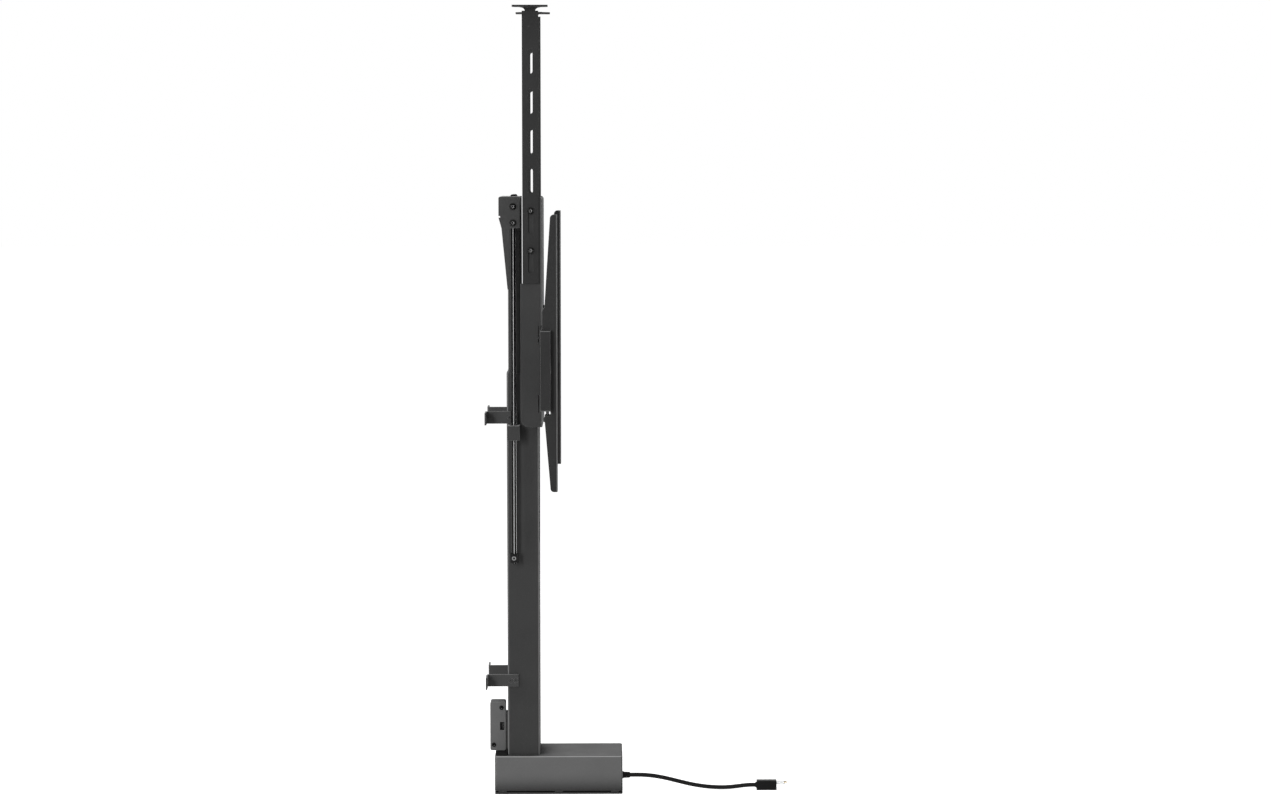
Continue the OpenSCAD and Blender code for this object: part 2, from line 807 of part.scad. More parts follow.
module column_screws() {
  color(near_black) at_column_screws() flush_screw(small_r, small_head_r, column_screw_l);
}

// Plastic guides in the column's mouth, to both sides of the slot and the mast
module column_glides() {
  x1 = column_w / 2 - column_wall;
  y0 = column_wall - column_d / 2;
  y1 = column_d / 2 - column_wall;
  inner_r = column_r - column_wall;
  color(near_black)
    for (x = sides)
      translate([0, 0, column_top - glide_h])
        linear_extrude(glide_h)
          intersection() {
            rounded_rect(2 * x1, y1 - y0, inner_r);
            difference() {
              translate([x > 0 ? slot_w / 2 : -x1, y0]) square([x1 - slot_w / 2, y1 - y0]);
              translate([-mast_w / 2 - slide_gap, mast_front - slide_gap])
                square([mast_w + 2 * slide_gap, mast_d + mast_gap + 2 * slide_gap]);
            }
          }
}

// Strap on the column's side with an ear turned out against the wall
module wall_strap(side, z) {
  x0 = column_w / 2;
  difference() {
    translate([0, 0, z - strap_h / 2])
      linear_extrude(strap_h)
        mirror([side > 0 ? 0 : 1, 0]) {
          translate([x0, strap_y0]) square([strap_t, strap_y1 - strap_y0 - strap_t]);
          translate([x0 + strap_t, strap_y1 - strap_t]) {
            square([ear_w, strap_t]);
            intersection() {
              circle(strap_t);
              translate([-strap_t, 0]) square(strap_t);
            }
          }
        }
    at_strap_screws() flush_hole(small_r, small_head_r, strap_screw_l);
    bar_y(ear_hole_d / 2, strap_y1 - 2 * strap_t, strap_y1 + overcut, side * ear_hole_x, z);
  }
}

module upper_left_strap() {
  color(charcoal) wall_strap(-1, upper_strap_z);
}

module upper_right_strap() {
  color(charcoal) wall_strap(1, upper_strap_z);
}

module lower_left_strap() {
  color(charcoal) wall_strap(-1, lower_strap_z);
}

module lower_right_strap() {
  color(charcoal) wall_strap(1, lower_strap_z);
}

module strap_screws() {
  color(near_black) at_strap_screws() flush_screw(small_r, small_head_r, strap_screw_l);
}

// Block on the column's side with a bush that the guide rod slides in
module guide_block(side) {
  low = [column_w / 2, mast_y - guide_d / 2, guide_z - guide_h / 2];
  high = [guide_out, mast_y + guide_d / 2, guide_z + guide_h / 2];
  difference() {
    translate([side > 0 ? 0 : -low[0] - high[0], 0, 0]) block(low, high);
    bar_z(bush_r + bore_gap, low[2] - overcut, high[2] + overcut, side * rod_x, mast_y);
    at_guide_screws() bar_z(small_r + hole_gap, -guide_screw_l - guide_screw_gap / 2, overcut, 0, 0);
  }
}

module left_guide_block() {
  color(charcoal) guide_block(-1);
}

module right_guide_block() {
  color(charcoal) guide_block(1);
}

module guide_bushes() {
  z0 = guide_z - guide_h / 2;
  z1 = guide_z + guide_h / 2;
  color(near_black)
    for (x = sides)
      difference() {
        bar_z(bush_r, z0, z1, x * rod_x, mast_y);
        bar_z(rod_r + bore_gap, z0 - overcut, z1 + overcut, x * rod_x, mast_y);
      }
}

module block_screws() {
  color(steel) at_guide_screws() low_screw(small_r, guide_screw_l);
}

// Round-edged side outline of the control box, in Y and Z
module box_outline(shrink) {
  translate([box_mid_y, box_mid_z])
    rounded_rect(box_d - 2 * shrink, box_h - 2 * shrink, max(box_r - shrink, 0.5));
}

module at_box_screws() {
  for (spot = box_screw_spots)
    translate([-box_w / 2, box_mid_y + spot[0], box_mid_z + spot[1]]) facing_x(-1) children();
}

module control_box_body() {
  x0 = box_wall - box_w / 2;
  color(mid_grey)
    difference() {
      union() {
        difference() {
          upright(x0, box_w - box_wall) box_outline(0);
          upright(x0 - overcut, box_w - 2 * box_wall + overcut) box_outline(box_wall);
        }
        at_box_screws() bar_z(box_boss_r, -box_w + overcut, -box_wall, 0, 0);
      }
      at_box_screws() bar_z(small_r + hole_gap, -box_screw_l - overcut, 0, 0, 0);
    }
}

// Side cover of the control box, with a socket for the handset's receiver lead
module control_box_cover() {
  socket_w = 7;
  socket_h = 13;
  socket_edge = 2;
  color(mid_grey)
    difference() {
      upright(-box_w / 2, box_wall) box_outline(0);
      at_box_screws() bar_z(small_r + hole_gap, -box_wall - overcut, overcut, 0, 0);
      translate([-box_w / 2 - overcut, box_y0 + socket_edge, box_mid_z - socket_h / 2])
        cube([box_wall + 2 * overcut, socket_w, socket_h]);
    }
}

module control_box_screws() {
  color(near_black) at_box_screws() button_screw(small_r, box_screw_l);
}

module control_box_bracket() {
  color(charcoal)
    block([-box_bracket_w / 2, column_d / 2, box_z0 + 2],
          [box_bracket_w / 2, column_d / 2 + box_bracket_t, box_z0 + 2 + box_bracket_h]);
}

// Rubber pad behind the column, where the control box's wires go down into the base
module lead_grommet() {
  color(near_black) {
    translate([0, (grommet_y0 + grommet_y1) / 2, base_h])
      linear_extrude(grommet_h) rounded_rect(grommet_w, grommet_y1 - grommet_y0, grommet_r);
    bar_z(grommet_hole_r - hole_gap, base_h - base_sheet, base_h, 0, grommet_y);
  }
}

// Cable gland in the front cover: a nut inside, a collar and a tapered nose outside
module cable_gland() {
  collar_l = 2;
  lip_l = 1.5;
  nut_l = 4;
  translate([lead_x, -base_front, gland_z])
    facing_y(-1)
      color(near_black) {
        bar_z(gland_thread_r, -gland_inner_l, 0, 0, 0);
        bar_z(gland_nut_r, -base_sheet - nut_l, -base_sheet, 0, 0);
        bar_z(gland_collar_r, 0, collar_l, 0, 0);
        translate([0, 0, collar_l])
          cylinder(r1 = gland_thread_r, r2 = gland_nose_r, h = gland_l - collar_l - lip_l);
        translate([0, 0, gland_l - lip_l])
          cylinder(r1 = gland_nose_r, r2 = lead_d / 2 + collar_wall, h = lip_l);
      }
}

// Free lead: a tube along the route
module motor_lead() {
  count = len(lead_route);
  n = lead_sides;
  points = [for (i = [0:count - 1]) each ring(lead_route, i, lead_d / 2, n)];
  side_faces = [
    for (i = [0:count - 2], k = [0:n - 1])
      let (a = i * n + k, b = i * n + (k + 1) % n)
      each [[a, b, b + n], [a, b + n, a + n]]
  ];
  start_face = [for (k = [1:n - 2]) [0, k + 1, k]];
  last = (count - 1) * n;
  end_face = [for (k = [1:n - 2]) [last, last + k, last + k + 1]];
  color(near_black) polyhedron(points, concat(side_faces, start_face, end_face), convexity = 4);
}

// Moulded boot between the lead and the clear plug
module plug_boot() {
  neck_l = 2;
  boot_r = 1.5;
  color(near_black)
    translate([lead_x, boot_y, boot_z])
      facing_y(-1) {
        cylinder(r1 = lead_d / 2 + collar_wall, r2 = lead_d / 2 + 2 * collar_wall, h = neck_l);
        translate([0, 0, neck_l]) linear_extrude(boot_l - neck_l) rounded_rect(boot_w, boot_h, boot_r);
      }
}

// Clear modular plug with its latch underneath
module plug_tip() {
  y1 = boot_y - boot_l;
  latch_t = 1.5;
  color(clear_plastic) {
    lengthwise(y1 - tip_l, tip_l)
      translate([lead_x, boot_z]) rounded_rect(tip_w, tip_h, 0.8);
    block([lead_x - 3, y1 - tip_l + 1, boot_z + tip_h / 2], [lead_x + 3, y1, boot_z + tip_h / 2 + latch_t]);
  }
}

// Lead screw from the gear case up into the mast
module lead_screw() {
  tip = 1.5;
  z0 = lower_bearing_z + 0.5;
  color(steel)
    translate([0, mast_y, 0])
      rotate_extrude()
        polygon([[0, z0], [screw_r - tip, z0], [screw_r, z0 + tip], [screw_r, screw_top - tip],
                 [screw_r - tip, screw_top], [0, screw_top]]);
}

// Worm wheel on the lead screw
module worm_wheel() {
  pitch = 360 / wheel_teeth;
  outline = [
    for (i = [0:wheel_teeth - 1])
      each [
        wheel_root_r * [cos((i - 0.3) * pitch), sin((i - 0.3) * pitch)],
        wheel_tip_r * [cos((i - 0.12) * pitch), sin((i - 0.12) * pitch)],
        wheel_tip_r * [cos((i + 0.12) * pitch), sin((i + 0.12) * pitch)],
        wheel_root_r * [cos((i + 0.3) * pitch), sin((i + 0.3) * pitch)]
      ]
  ];
  color(bronze)
    translate([0, mast_y, drive_z - wheel_t / 2])
      difference() {
        linear_extrude(wheel_t) polygon(outline);
        bar_z(screw_r + bore_gap, -overcut, wheel_t + overcut, 0, 0);
      }
}

// Worm on the motor's shaft, beside the wheel
module worm_shaft() {
  ridges = 6;
  ridge_pitch = worm_l / ridges;
  core_r = worm_r - 1.6;
  y0 = mast_y - worm_l / 2;
  color(steel) {
    bar_y(worm_shaft_r, case_front - worm_tail_l, y0 + worm_l + worm_nose_l, -worm_x, drive_z);
    bar_y(core_r, y0, y0 + worm_l, -worm_x, drive_z);
    for (i = [0:ridges - 1])
      bar_y(worm_r, y0 + (i + 0.3) * ridge_pitch, y0 + (i + 0.7) * ridge_pitch, -worm_x, drive_z);
  }
}

module at_nut_screws() {
  for (x = sides, z = nut_screw_zs)
    translate([x * nut_screw_x, mast_front, z]) facing_y(-1) children();
}

module at_head_screws() {
  for (x = sides) translate([x * head_screw_x, mast_y, head_top]) children();
}

module at_carriage_bolts() {
  for (x = sides, z = spacer_zs)
    translate([x * spacer_bolt_x, carriage_front, z + spacer_bolt_rise]) facing_y(-1) children();
}

// Mast tube with a welded top end
module inner_mast() {
  inner_w = mast_w - 2 * mast_wall;
  inner_d = mast_d - 2 * mast_wall;
  corner_r = mast_wall + 0.5;
  color(charcoal)
    difference() {
      translate([0, mast_mid, mast_foot]) linear_extrude(mast_h) rounded_rect(mast_w, mast_d, corner_r);
      translate([0, mast_mid, mast_foot - overcut])
        linear_extrude(mast_h - mast_cap_t + overcut)
          rounded_rect(inner_w, inner_d, corner_r - mast_wall);
      at_nut_screws() bar_z(small_r + hole_gap, -mast_wall - overcut, overcut, 0, 0);
      at_carriage_bolts() bar_z(large_r + hole_gap, -carriage_bolt_l - overcut, 0, 0, 0);
      at_head_screws() bar_z(large_r + hole_gap, -head_screw_l - overcut, overcut, 0, 0);
    }
}

// Nut that rides on the lead screw, in the mast's foot
module drive_nut() {
  d = mast_d - 2 * mast_wall - 2 * foot_gap;
  color(bronze)
    difference() {
      union() {
        block([-nut_half_w, mast_mid - d / 2, mast_foot], [nut_half_w, mast_mid + d / 2, mast_foot + nut_h]);
        block([-nut_half_w - 12, mast_front + 0.5, mast_foot - nut_flange_h],
              [nut_half_w + 12, mast_back - 0.5, mast_foot]);
      }
      bar_z(screw_r + bore_gap, mast_foot - nut_flange_h - overcut, mast_foot + nut_h + overcut, 0, mast_y);
      at_nut_screws() bar_z(small_r + hole_gap, -nut_screw_l - overcut, 0, 0, 0);
    }
}

module nut_screws() {
  color(near_black) at_nut_screws() button_screw(small_r, nut_screw_l);
}

// Plastic pads on the mast's sides, at its foot
module mast_glides() {
  pad_z = mast_foot + 5;
  color(near_black)
    for (x = sides)
      translate([x > 0 ? mast_w / 2 : slide_gap - mast_w / 2 - glide_t, mast_front + 2.5, pad_z])
        cube([glide_t - slide_gap, mast_d - 5, mast_glide_h]);
}

// Side outline of the head bracket, in Y and Z: closed top part, relief notch and tapered gusset
module head_side() {
  back_foot = head_top - back_plate_h;
  polygon(concat(
    [[head_y0, block_z], [head_y0, head_top]],
    arc([head_y1 - relief, head_top - relief], relief, 90, 0),
    [[head_y1, back_foot], [head_y1 - relief, back_foot], [head_y1 - relief, back_foot - relief],
     [head_y1, back_foot - relief], [head_y1 - 4.5, block_z], [gusset_y0 + gusset_tip_w, gusset_z],
     [gusset_y0, gusset_z], [gusset_y0, block_z]]
  ));
}

// Flat outline of the head bracket's top and back, in Y and Z
module head_shell() {
  back_foot = head_top - back_plate_h;
  difference() {
    polygon(concat(
      [[head_y0, block_z], [head_y0, head_top]],
      arc([head_y1 - relief, head_top - relief], relief, 90, 0),
      [[head_y1, back_foot], [head_y0, back_foot]]
    ));
    translate([head_y0 - overcut, block_z - overcut])
      square([head_y1 - head_y0 - head_sheet + overcut, head_h - head_sheet + overcut]);
  }
}

module at_clamp_screws() {
  for (x = sides, z = clamp_screw_zs)
    translate([x * head_w / 2, mast_y, z]) facing_x(x) children();
}

module head_bracket() {
  color(charcoal)
    difference() {
      union() {
        upright(-head_w / 2, head_sheet) head_side();
        upright(head_w / 2 - head_sheet, head_sheet) head_side();
        upright(-head_w / 2 + head_sheet / 2, head_w - head_sheet) head_shell();
      }
      at_head_screws() bar_z(large_r + hole_gap, -head_sheet - overcut, overcut, 0, 0);
      at_clamp_screws() bar_z(large_r + hole_gap, -head_sheet - overcut, overcut, 0, 0);
    }
}

module head_screws() {
  color(near_black) at_head_screws() button_screw(large_r, head_screw_l);
}

// Blocks between mast and bracket sides that hold the rods' upper ends
module rod_clamps() {
  x0 = mast_w / 2;
  x1 = head_w / 2 - head_sheet;
  color(mid_grey)
    for (x = sides)
      difference() {
        translate([x > 0 ? 0 : -x0 - x1, 0, 0])
          block([x0, mast_y - mast_back_d, clamp_z0], [x1, mast_back, mast_top]);
        bar_z(rod_r + bore_gap, clamp_z0 - overcut, mast_top - 1, x * rod_x, mast_y);
        at_clamp_screws() bar_z(large_r + hole_gap, -clamp_screw_l, 0, 0, 0);
      }
}

module clamp_screws() {
  color(near_black) at_clamp_screws() button_screw(large_r, clamp_screw_l);
}

module guide_rod(side) {
  tip = 0.8;
  translate([side * rod_x, mast_y, 0])
    rotate_extrude()
      polygon([[0, rod_foot], [rod_r - tip, rod_foot], [rod_r, rod_foot + tip],
               [rod_r, rod_top - tip], [rod_r - tip, rod_top], [0, rod_top]]);
}

module left_guide_rod() {
  color(steel) guide_rod(-1);
}

module right_guide_rod() {
  color(steel) guide_rod(1);
}

// Collars that stop the rods under the guide blocks
module rod_stops() {
  color(near_black)
    for (x = sides)
      difference() {
        bar_z(stop_d / 2, rod_foot + 2, rod_foot + 2 + stop_h, x * rod_x, mast_y);
        bar_z(rod_r + bore_gap, rod_foot, rod_foot + 4 + stop_h, x * rod_x, mast_y);
      }
}

// Plan of a channel with round bends: its web is at front, its flanges run back from there
module channel_plan(w, front, depth, t, bend_r) {
  difference() {
    translate([0, front + depth]) rounded_rect(w, 2 * depth, bend_r);
    translate([0, front + depth]) rounded_rect(w - 2 * t, 2 * depth - 2 * t, bend_r - t);
    translate([-w, front + depth]) square([2 * w, 2 * depth]);
  }
}

// Side outline of the carriage, in Y and Z
module carriage_side() {
  back = carriage_front + flange_d;
  cut_back = back - flange_cut;
  top_r = 5;
  polygon(concat(
    [[carriage_front, carriage_foot]],
    arc([back - flange_corner_r, carriage_foot + flange_corner_r], flange_corner_r, -90, 0, 10),
    [[back, cut_z], [cut_back, cut_z]],
    arc([cut_back - top_r, carriage_top - top_r], top_r, 0, 90),
    arc([carriage_front + top_r, carriage_top - top_r], top_r, 90, 180)
  ));
}

module at_plate_bolts() {
  for (x = sides, z = plate_bolt_zs)
    translate([x * plate_bolt_x, plate_front, z]) facing_y(-1) children();
}

module at_post_bolts() {
  for (x = sides, z = post_bolt_zs)
    translate([x * (post_x + post_t + slide_gap), post_y, z]) facing_x(x) children();
}

// Channel that carries the screen mount and the lid posts
module carriage() {
  color(charcoal)
    difference() {
      intersection() {
        translate([0, 0, carriage_foot])
          linear_extrude(carriage_h)
            channel_plan(carriage_w, carriage_front, flange_d + overcut, carriage_sheet, carriage_bend_r);
        upright(-carriage_w / 2 - overcut, carriage_w + 2 * overcut) carriage_side();
      }
      at_carriage_bolts() bar_z(large_r + hole_gap, -carriage_sheet - overcut, overcut, 0, 0);
      at_plate_bolts() bar_z(large_r + hole_gap, -plate_bolt_l - overcut, 0, 0, 0);
      at_post_bolts() bar_z(large_r + hole_gap, -post_bolt_l - overcut, 0, 0, 0);
      carriage_edge_slots();
    }
}

// Narrow slots beside the carriage's bends, level with the mounting plate's edges
module carriage_edge_slots() {
  for (x = sides, z = edge_slot_zs)
    translate([x > 0 ? carriage_w / 2 - carriage_sheet - overcut : -carriage_w / 2 - overcut,
               carriage_front + edge_slot_inset, z])
      cube([carriage_sheet + 2 * overcut, edge_slot_w, edge_slot_h]);
}

// Blocks through the column's slot, between the carriage's web and the mast
module carriage_spacers() {
  color(steel)
    for (z = spacer_zs)
      difference() {
        block([-spacer_w / 2, web_back, z], [spacer_w / 2, mast_front, z + spacer_h]);
        at_carriage_bolts() bar_z(large_r + hole_gap, -carriage_bolt_l, 0, 0, 0);
      }
}

module carriage_bolts() {
  color(near_black) at_carriage_bolts() button_screw(large_r, carriage_bolt_l);
}

// Shallow pan, open to the back, that the screen arms hook over
module mounting_plate() {
  pan_r = 3;
  mid_z = (plate_z0 + plate_z1) / 2;
  window_l = plate_w / 2 - carriage_w / 2 - 2 * window_margin;
  color(dark_grey)
    difference() {
      union() {
        difference() {
          lengthwise(plate_front, plate_d) translate([0, mid_z]) rounded_rect(plate_w, plate_h, pan_r);
          lengthwise(plate_front + plate_sheet, plate_d)
            translate([0, mid_z])
              rounded_rect(plate_w - 2 * plate_sheet, plate_h - 2 * plate_sheet, pan_r - plate_sheet + 0.5);
        }
        for (x = sides, z = plate_bolt_zs)
          bar_y(plate_boss_r, plate_front + plate_sheet / 2, carriage_front, x * plate_bolt_x, z);
      }
      at_plate_bolts() bar_z(large_r + hole_gap, -plate_d - overcut, overcut, 0, 0);
      for (x = sides)
        lengthwise(plate_front - overcut, plate_sheet + 2 * overcut)
          translate([x * (carriage_w / 2 + plate_w / 2) / 2, mid_z])
            rotate(90) slot_outline(window_h, window_l);
    }
}

module plate_bolts() {
  color(near_black)
    at_plate_bolts() {
      button_screw(large_r, plate_bolt_l);
      bar_z(1.7 * large_r, -plate_d - carriage_sheet - nut_t, -plate_d - carriage_sheet, 0, 0);
    }
}

// Bolts that clamp the lid posts to the carriage's sides, with nuts inside
module lid_post_bolts() {
  nut_z = -post_t - 2 * slide_gap - carriage_sheet;
  color(near_black)
    at_post_bolts() {
      button_screw(large_r, post_bolt_l);
      bar_z(1.7 * large_r, nut_z - nut_t, nut_z, 0, 0);
    }
}

// Flat outline of a lid post, in Y and Z
module post_outline() {
  slot_zs = [for (i = [0:post_slots - 1]) slot_first_z + i * post_pitch + post_slot_l / 2];
  neck_h = 5;
  difference() {
    union() {
      translate([post_y - post_w / 2, post_foot]) square([post_w, post_l - neck_h]);
      translate([post_y - neck_w / 2, post_foot]) square([neck_w, post_l]);
    }
    for (z = slot_zs) translate([post_y, z]) slot_outline(post_slot_w, post_slot_l);
    translate([post_y, post_top - 30]) circle(hang_hole_d / 2);
  }
}

// Flat outline of the tab that carries the lid, in X out from the post and Y
module tab_outline() {
  flare = (tab_w - neck_w) / 4;
  tab_r = 3;
  difference() {
    polygon(concat(
      [[0, -neck_w / 2], [post_t, -neck_w / 2], [post_t + flare, -tab_w / 2]],
      arc([tab_l - tab_r, tab_r - tab_w / 2], tab_r, -90, 0),
      arc([tab_l - tab_r, tab_w / 2 - tab_r], tab_r, 0, 90),
      [[post_t + flare, tab_w / 2], [post_t, neck_w / 2], [0, neck_w / 2]]
    ));
    for (y = sides) translate([tab_hole_x, y * tab_hole_y]) circle(tab_hole_d / 2);
  }
}

// Flat post with slots and a tab at its top; side +1 is the right one
module lid_post(side) {
  upright(side > 0 ? post_x : -post_x - post_t, post_t) post_outline();
  translate([side * post_x, post_y, post_top])
    linear_extrude(post_t)
      rotate(side > 0 ? 0 : 180) tab_outline();
}

module left_lid_post() {
  color(dark_grey) lid_post(-1);
}

module right_lid_post() {
  color(dark_grey) lid_post(1);
}

// Side outline of a screen arm, in Y and Z, with its hook over the plate and its lower claw
module arm_side() {
  waist = plate_front - arm_gap;
  hook = arm_front + arm_hook_d;
  finger = arm_front + hook_finger_d;
  end = arm_front + arm_end_d;
  seat = plate_z1 + slide_gap;
  claw = plate_z0 - lock_gap;
  polygon(concat(
    [[arm_front, arm_z0], [arm_front, arm_z1]],
    arc([end - arm_end_r, arm_z1 - arm_end_r], arm_end_r, 90, 0),
    [[hook, seat + hook_finger_h], [finger, seat + hook_finger_h - 6], [finger, seat],
     [waist, seat], [waist, claw], [hook, claw], [hook, claw - 8]],
    arc([end - arm_end_r, arm_z0 + arm_end_r], arm_end_r, 0, -90)
  ));
}

module at_lock(side) {
  translate([side * arm_spacing / 2, lock_y, lock_tab_z]) children();
}

// Upright channel that the screen is screwed to
module screen_arm(side) {
  hole_zs = [for (i = [1:3], s = sides) arm_mid_z + s * i * screen_hole_pitch];
  x = side * arm_spacing / 2;
  half_inner = arm_w / 2 - arm_sheet;
  difference() {
    union() {
      intersection() {
        translate([x, 0, arm_z0])
          linear_extrude(arm_l)
            channel_plan(arm_w, arm_front, hook_finger_d + overcut, arm_sheet, arm_sheet + 1);
        upright(x - arm_w, 2 * arm_w) arm_side();
      }
      block([x - half_inner - arm_sheet / 2, arm_front + arm_sheet / 2, lock_tab_z],
            [x + half_inner + arm_sheet / 2, arm_front + arm_hook_d, lock_tab_z + lock_tab_t]);
    }
    for (z = hole_zs) bar_y(screen_hole_d / 2, arm_front - overcut, arm_front + arm_sheet + overcut, x, z);
    for (s = sides)
      lengthwise(arm_front - overcut, arm_sheet + 2 * overcut)
        translate([x, arm_mid_z + s * 3.7 * screen_hole_pitch]) slot_outline(screen_hole_d, 26);
    at_lock(side) bar_z(lock_r + bore_gap, -overcut, lock_tab_t + overcut, 0, 0);
  }
}

module left_screen_arm() {
  color(dark_grey) screen_arm(-1);
}

module right_screen_arm() {
  color(dark_grey) screen_arm(1);
}

// Thumb screw that locks an arm under the mounting plate
module arm_lock() {
  bar_z(lock_r, 0, lock_gap + lock_tab_t - slide_gap, 0, 0);
  bar_z(lock_knob_r, -lock_knob_h, 0, 0, 0);
}

module left_arm_lock() {
  color(near_black) at_lock(-1) arm_lock();
}

module right_arm_lock() {
  color(near_black) at_lock(1) arm_lock();
}

base_plate();
base_housing();
front_end_cover();
rear_end_cover();
base_screws();
gear_case();
gear_cap();
motor_body();
motor_end_cap();
motor_wires();
screw_bearings();
column_foot();
foot_bolts();
outer_column();
column_screws();
column_glides();
upper_left_strap();
upper_right_strap();
lower_left_strap();
lower_right_strap();
strap_screws();
left_guide_block();
right_guide_block();
guide_bushes();
block_screws();
control_box_body();
control_box_cover();
control_box_screws();
control_box_bracket();
lead_grommet();
cable_gland();
motor_lead();
plug_boot();
plug_tip();
lead_screw();
worm_wheel();
worm_shaft();
inner_mast();
drive_nut();
nut_screws();
mast_glides();
head_bracket();
head_screws();
rod_clamps();
clamp_screws();
left_guide_rod();
right_guide_rod();
rod_stops();
carriage();
carriage_spacers();
carriage_bolts();
mounting_plate();
plate_bolts();
lid_post_bolts();
left_lid_post();
right_lid_post();
left_screen_arm();
right_screen_arm();
left_arm_lock();
right_arm_lock();
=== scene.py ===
"""Looks of the television lift: camera, light, finishes, the motor lead and small pieces."""
import json
import math
from itertools import product

import bmesh
import bpy
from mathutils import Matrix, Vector


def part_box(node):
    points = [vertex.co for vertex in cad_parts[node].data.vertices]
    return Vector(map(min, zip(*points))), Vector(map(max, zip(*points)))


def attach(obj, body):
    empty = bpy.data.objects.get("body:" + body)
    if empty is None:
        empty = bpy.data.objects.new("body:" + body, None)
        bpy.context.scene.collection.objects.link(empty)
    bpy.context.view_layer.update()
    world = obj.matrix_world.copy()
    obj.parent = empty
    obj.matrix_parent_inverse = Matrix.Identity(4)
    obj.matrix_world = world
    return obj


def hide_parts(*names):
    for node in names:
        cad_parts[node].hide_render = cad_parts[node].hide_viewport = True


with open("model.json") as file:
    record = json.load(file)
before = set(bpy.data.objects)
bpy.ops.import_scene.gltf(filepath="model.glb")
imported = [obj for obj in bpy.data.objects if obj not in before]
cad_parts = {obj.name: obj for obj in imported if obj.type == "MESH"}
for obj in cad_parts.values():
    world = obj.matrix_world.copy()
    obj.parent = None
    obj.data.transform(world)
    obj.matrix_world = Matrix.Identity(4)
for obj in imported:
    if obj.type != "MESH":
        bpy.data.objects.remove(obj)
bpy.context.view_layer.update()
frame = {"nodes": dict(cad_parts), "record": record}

# Camera: the photograph's width and the focal length in pixels, and where the camera stands and points
PHOTO_WIDTH_PX = 1271
FOCAL_PX = 2828
SENSOR_MM = 36.0
CAMERA_AT = (-4.4, -0.1159, 0.9766)
CAMERA_DOWN = math.radians(4.727)
CAMERA_RIGHT = math.radians(0.768)

# Motor lead: the route's points in metres, from the gland down to the floor and along it to the plug
LEAD_X = -0.022
LEAD_YZ = [
    (-0.166, 0.024), (-0.178, 0.024), (-0.190, 0.0236),
    (-0.202, 0.0224), (-0.214, 0.0204), (-0.226, 0.0178),
    (-0.238, 0.0148), (-0.250, 0.0118), (-0.262, 0.009),
    (-0.274, 0.0068), (-0.286, 0.0052), (-0.298, 0.0042),
    (-0.310, 0.0038), (-0.322, 0.0042), (-0.334, 0.0054),
    (-0.346, 0.0068), (-0.357, 0.0075), (-0.363, 0.0075),
]
LEAD_DIAMETER = 0.0065

# Turned pieces: points and plane of each ring, rings to each pitch of a thread, and where an edge is sharp
RING_POINTS = 36
RING_PLANES = {"X": ((0, 1, 0), (0, 0, 1)), "Y": ((0, 0, 1), (1, 0, 0)), "Z": ((1, 0, 0), (0, 1, 0))}
THREAD_STEPS = 6
SHARP_ANGLE = math.radians(35)

# Square bars: the corners of a box's six faces, where the corners are counted along z, then y, then x
BOX_FACES = ((0, 1, 3, 2), (4, 6, 7, 5), (0, 4, 5, 1), (2, 3, 7, 6), (0, 2, 6, 4), (1, 5, 7, 3))


def linear(level):
    """Linear value of an sRGB level from 0 to 255."""
    share = level / 255
    return share / 12.92 if share <= 0.04045 else ((share + 0.055) / 1.055) ** 2.4


def grey(level, warm=0.0):
    """Linear colour of a grey, with a little more red than blue if warm is above 0."""
    value = linear(level)
    return (value * (1 + warm), value, value * (1 - warm), 1.0)


def add_camera():
    data = bpy.data.cameras.new("camera")
    data.sensor_width = SENSOR_MM
    data.lens = SENSOR_MM * FOCAL_PX / PHOTO_WIDTH_PX
    level = math.cos(CAMERA_DOWN)
    ahead = level * math.cos(CAMERA_RIGHT)
    aside = -level * math.sin(CAMERA_RIGHT)
    look = Vector((ahead, aside, -math.sin(CAMERA_DOWN)))
    camera = bpy.data.objects.new("camera", data)
    camera.location = CAMERA_AT
    camera.rotation_euler = look.to_track_quat("-Z", "Y").to_euler()
    bpy.context.scene.collection.objects.link(camera)
    bpy.context.scene.camera = camera


def add_node(tree, kind, settings=None, **inputs):
    """New shader node. An input is a value or a socket, and its name has _ for a space."""
    made = tree.nodes.new(kind)
    for name, value in (settings or {}).items():
        setattr(made, name, value)
    for name, value in inputs.items():
        connect(tree, made.inputs[name.replace("_", " ")], value)
    return made


def connect(tree, socket, value):
    """Links a socket to a socket, or sets it to a value."""
    if isinstance(value, bpy.types.NodeSocket):
        tree.links.new(value, socket)
    else:
        socket.default_value = value


def combine(tree, operation, first, second):
    """One number from two sockets."""
    made = add_node(tree, "ShaderNodeMath", {"operation": operation})
    tree.links.new(first, made.inputs[0])
    tree.links.new(second, made.inputs[1])
    return made.outputs["Value"]


def seen_by_eye(tree):
    """1 for rays from the camera, and for those that a mirror or clear plastic sends on."""
    path = add_node(tree, "ShaderNodeLightPath")
    total = path.outputs["Is Camera Ray"]
    for name in ("Is Glossy Ray", "Is Transmission Ray"):
        total = combine(tree, "MAXIMUM", total, path.outputs[name])
    return total


def add_world():
    """White to the eye, and a soft even light on the object."""
    ambient = 0.26
    white = 1.0
    world = bpy.data.worlds.new("studio")
    world.use_nodes = True
    tree = world.node_tree
    strength = add_node(tree, "ShaderNodeMapRange", To_Min=ambient, To_Max=white, Value=seen_by_eye(tree))
    background = tree.nodes["Background"]
    background.inputs["Color"].default_value = (1, 1, 1, 1)
    tree.links.new(strength.outputs["Result"], background.inputs["Strength"])
    bpy.context.scene.world = world
    bpy.context.scene.view_settings.view_transform = "Standard"


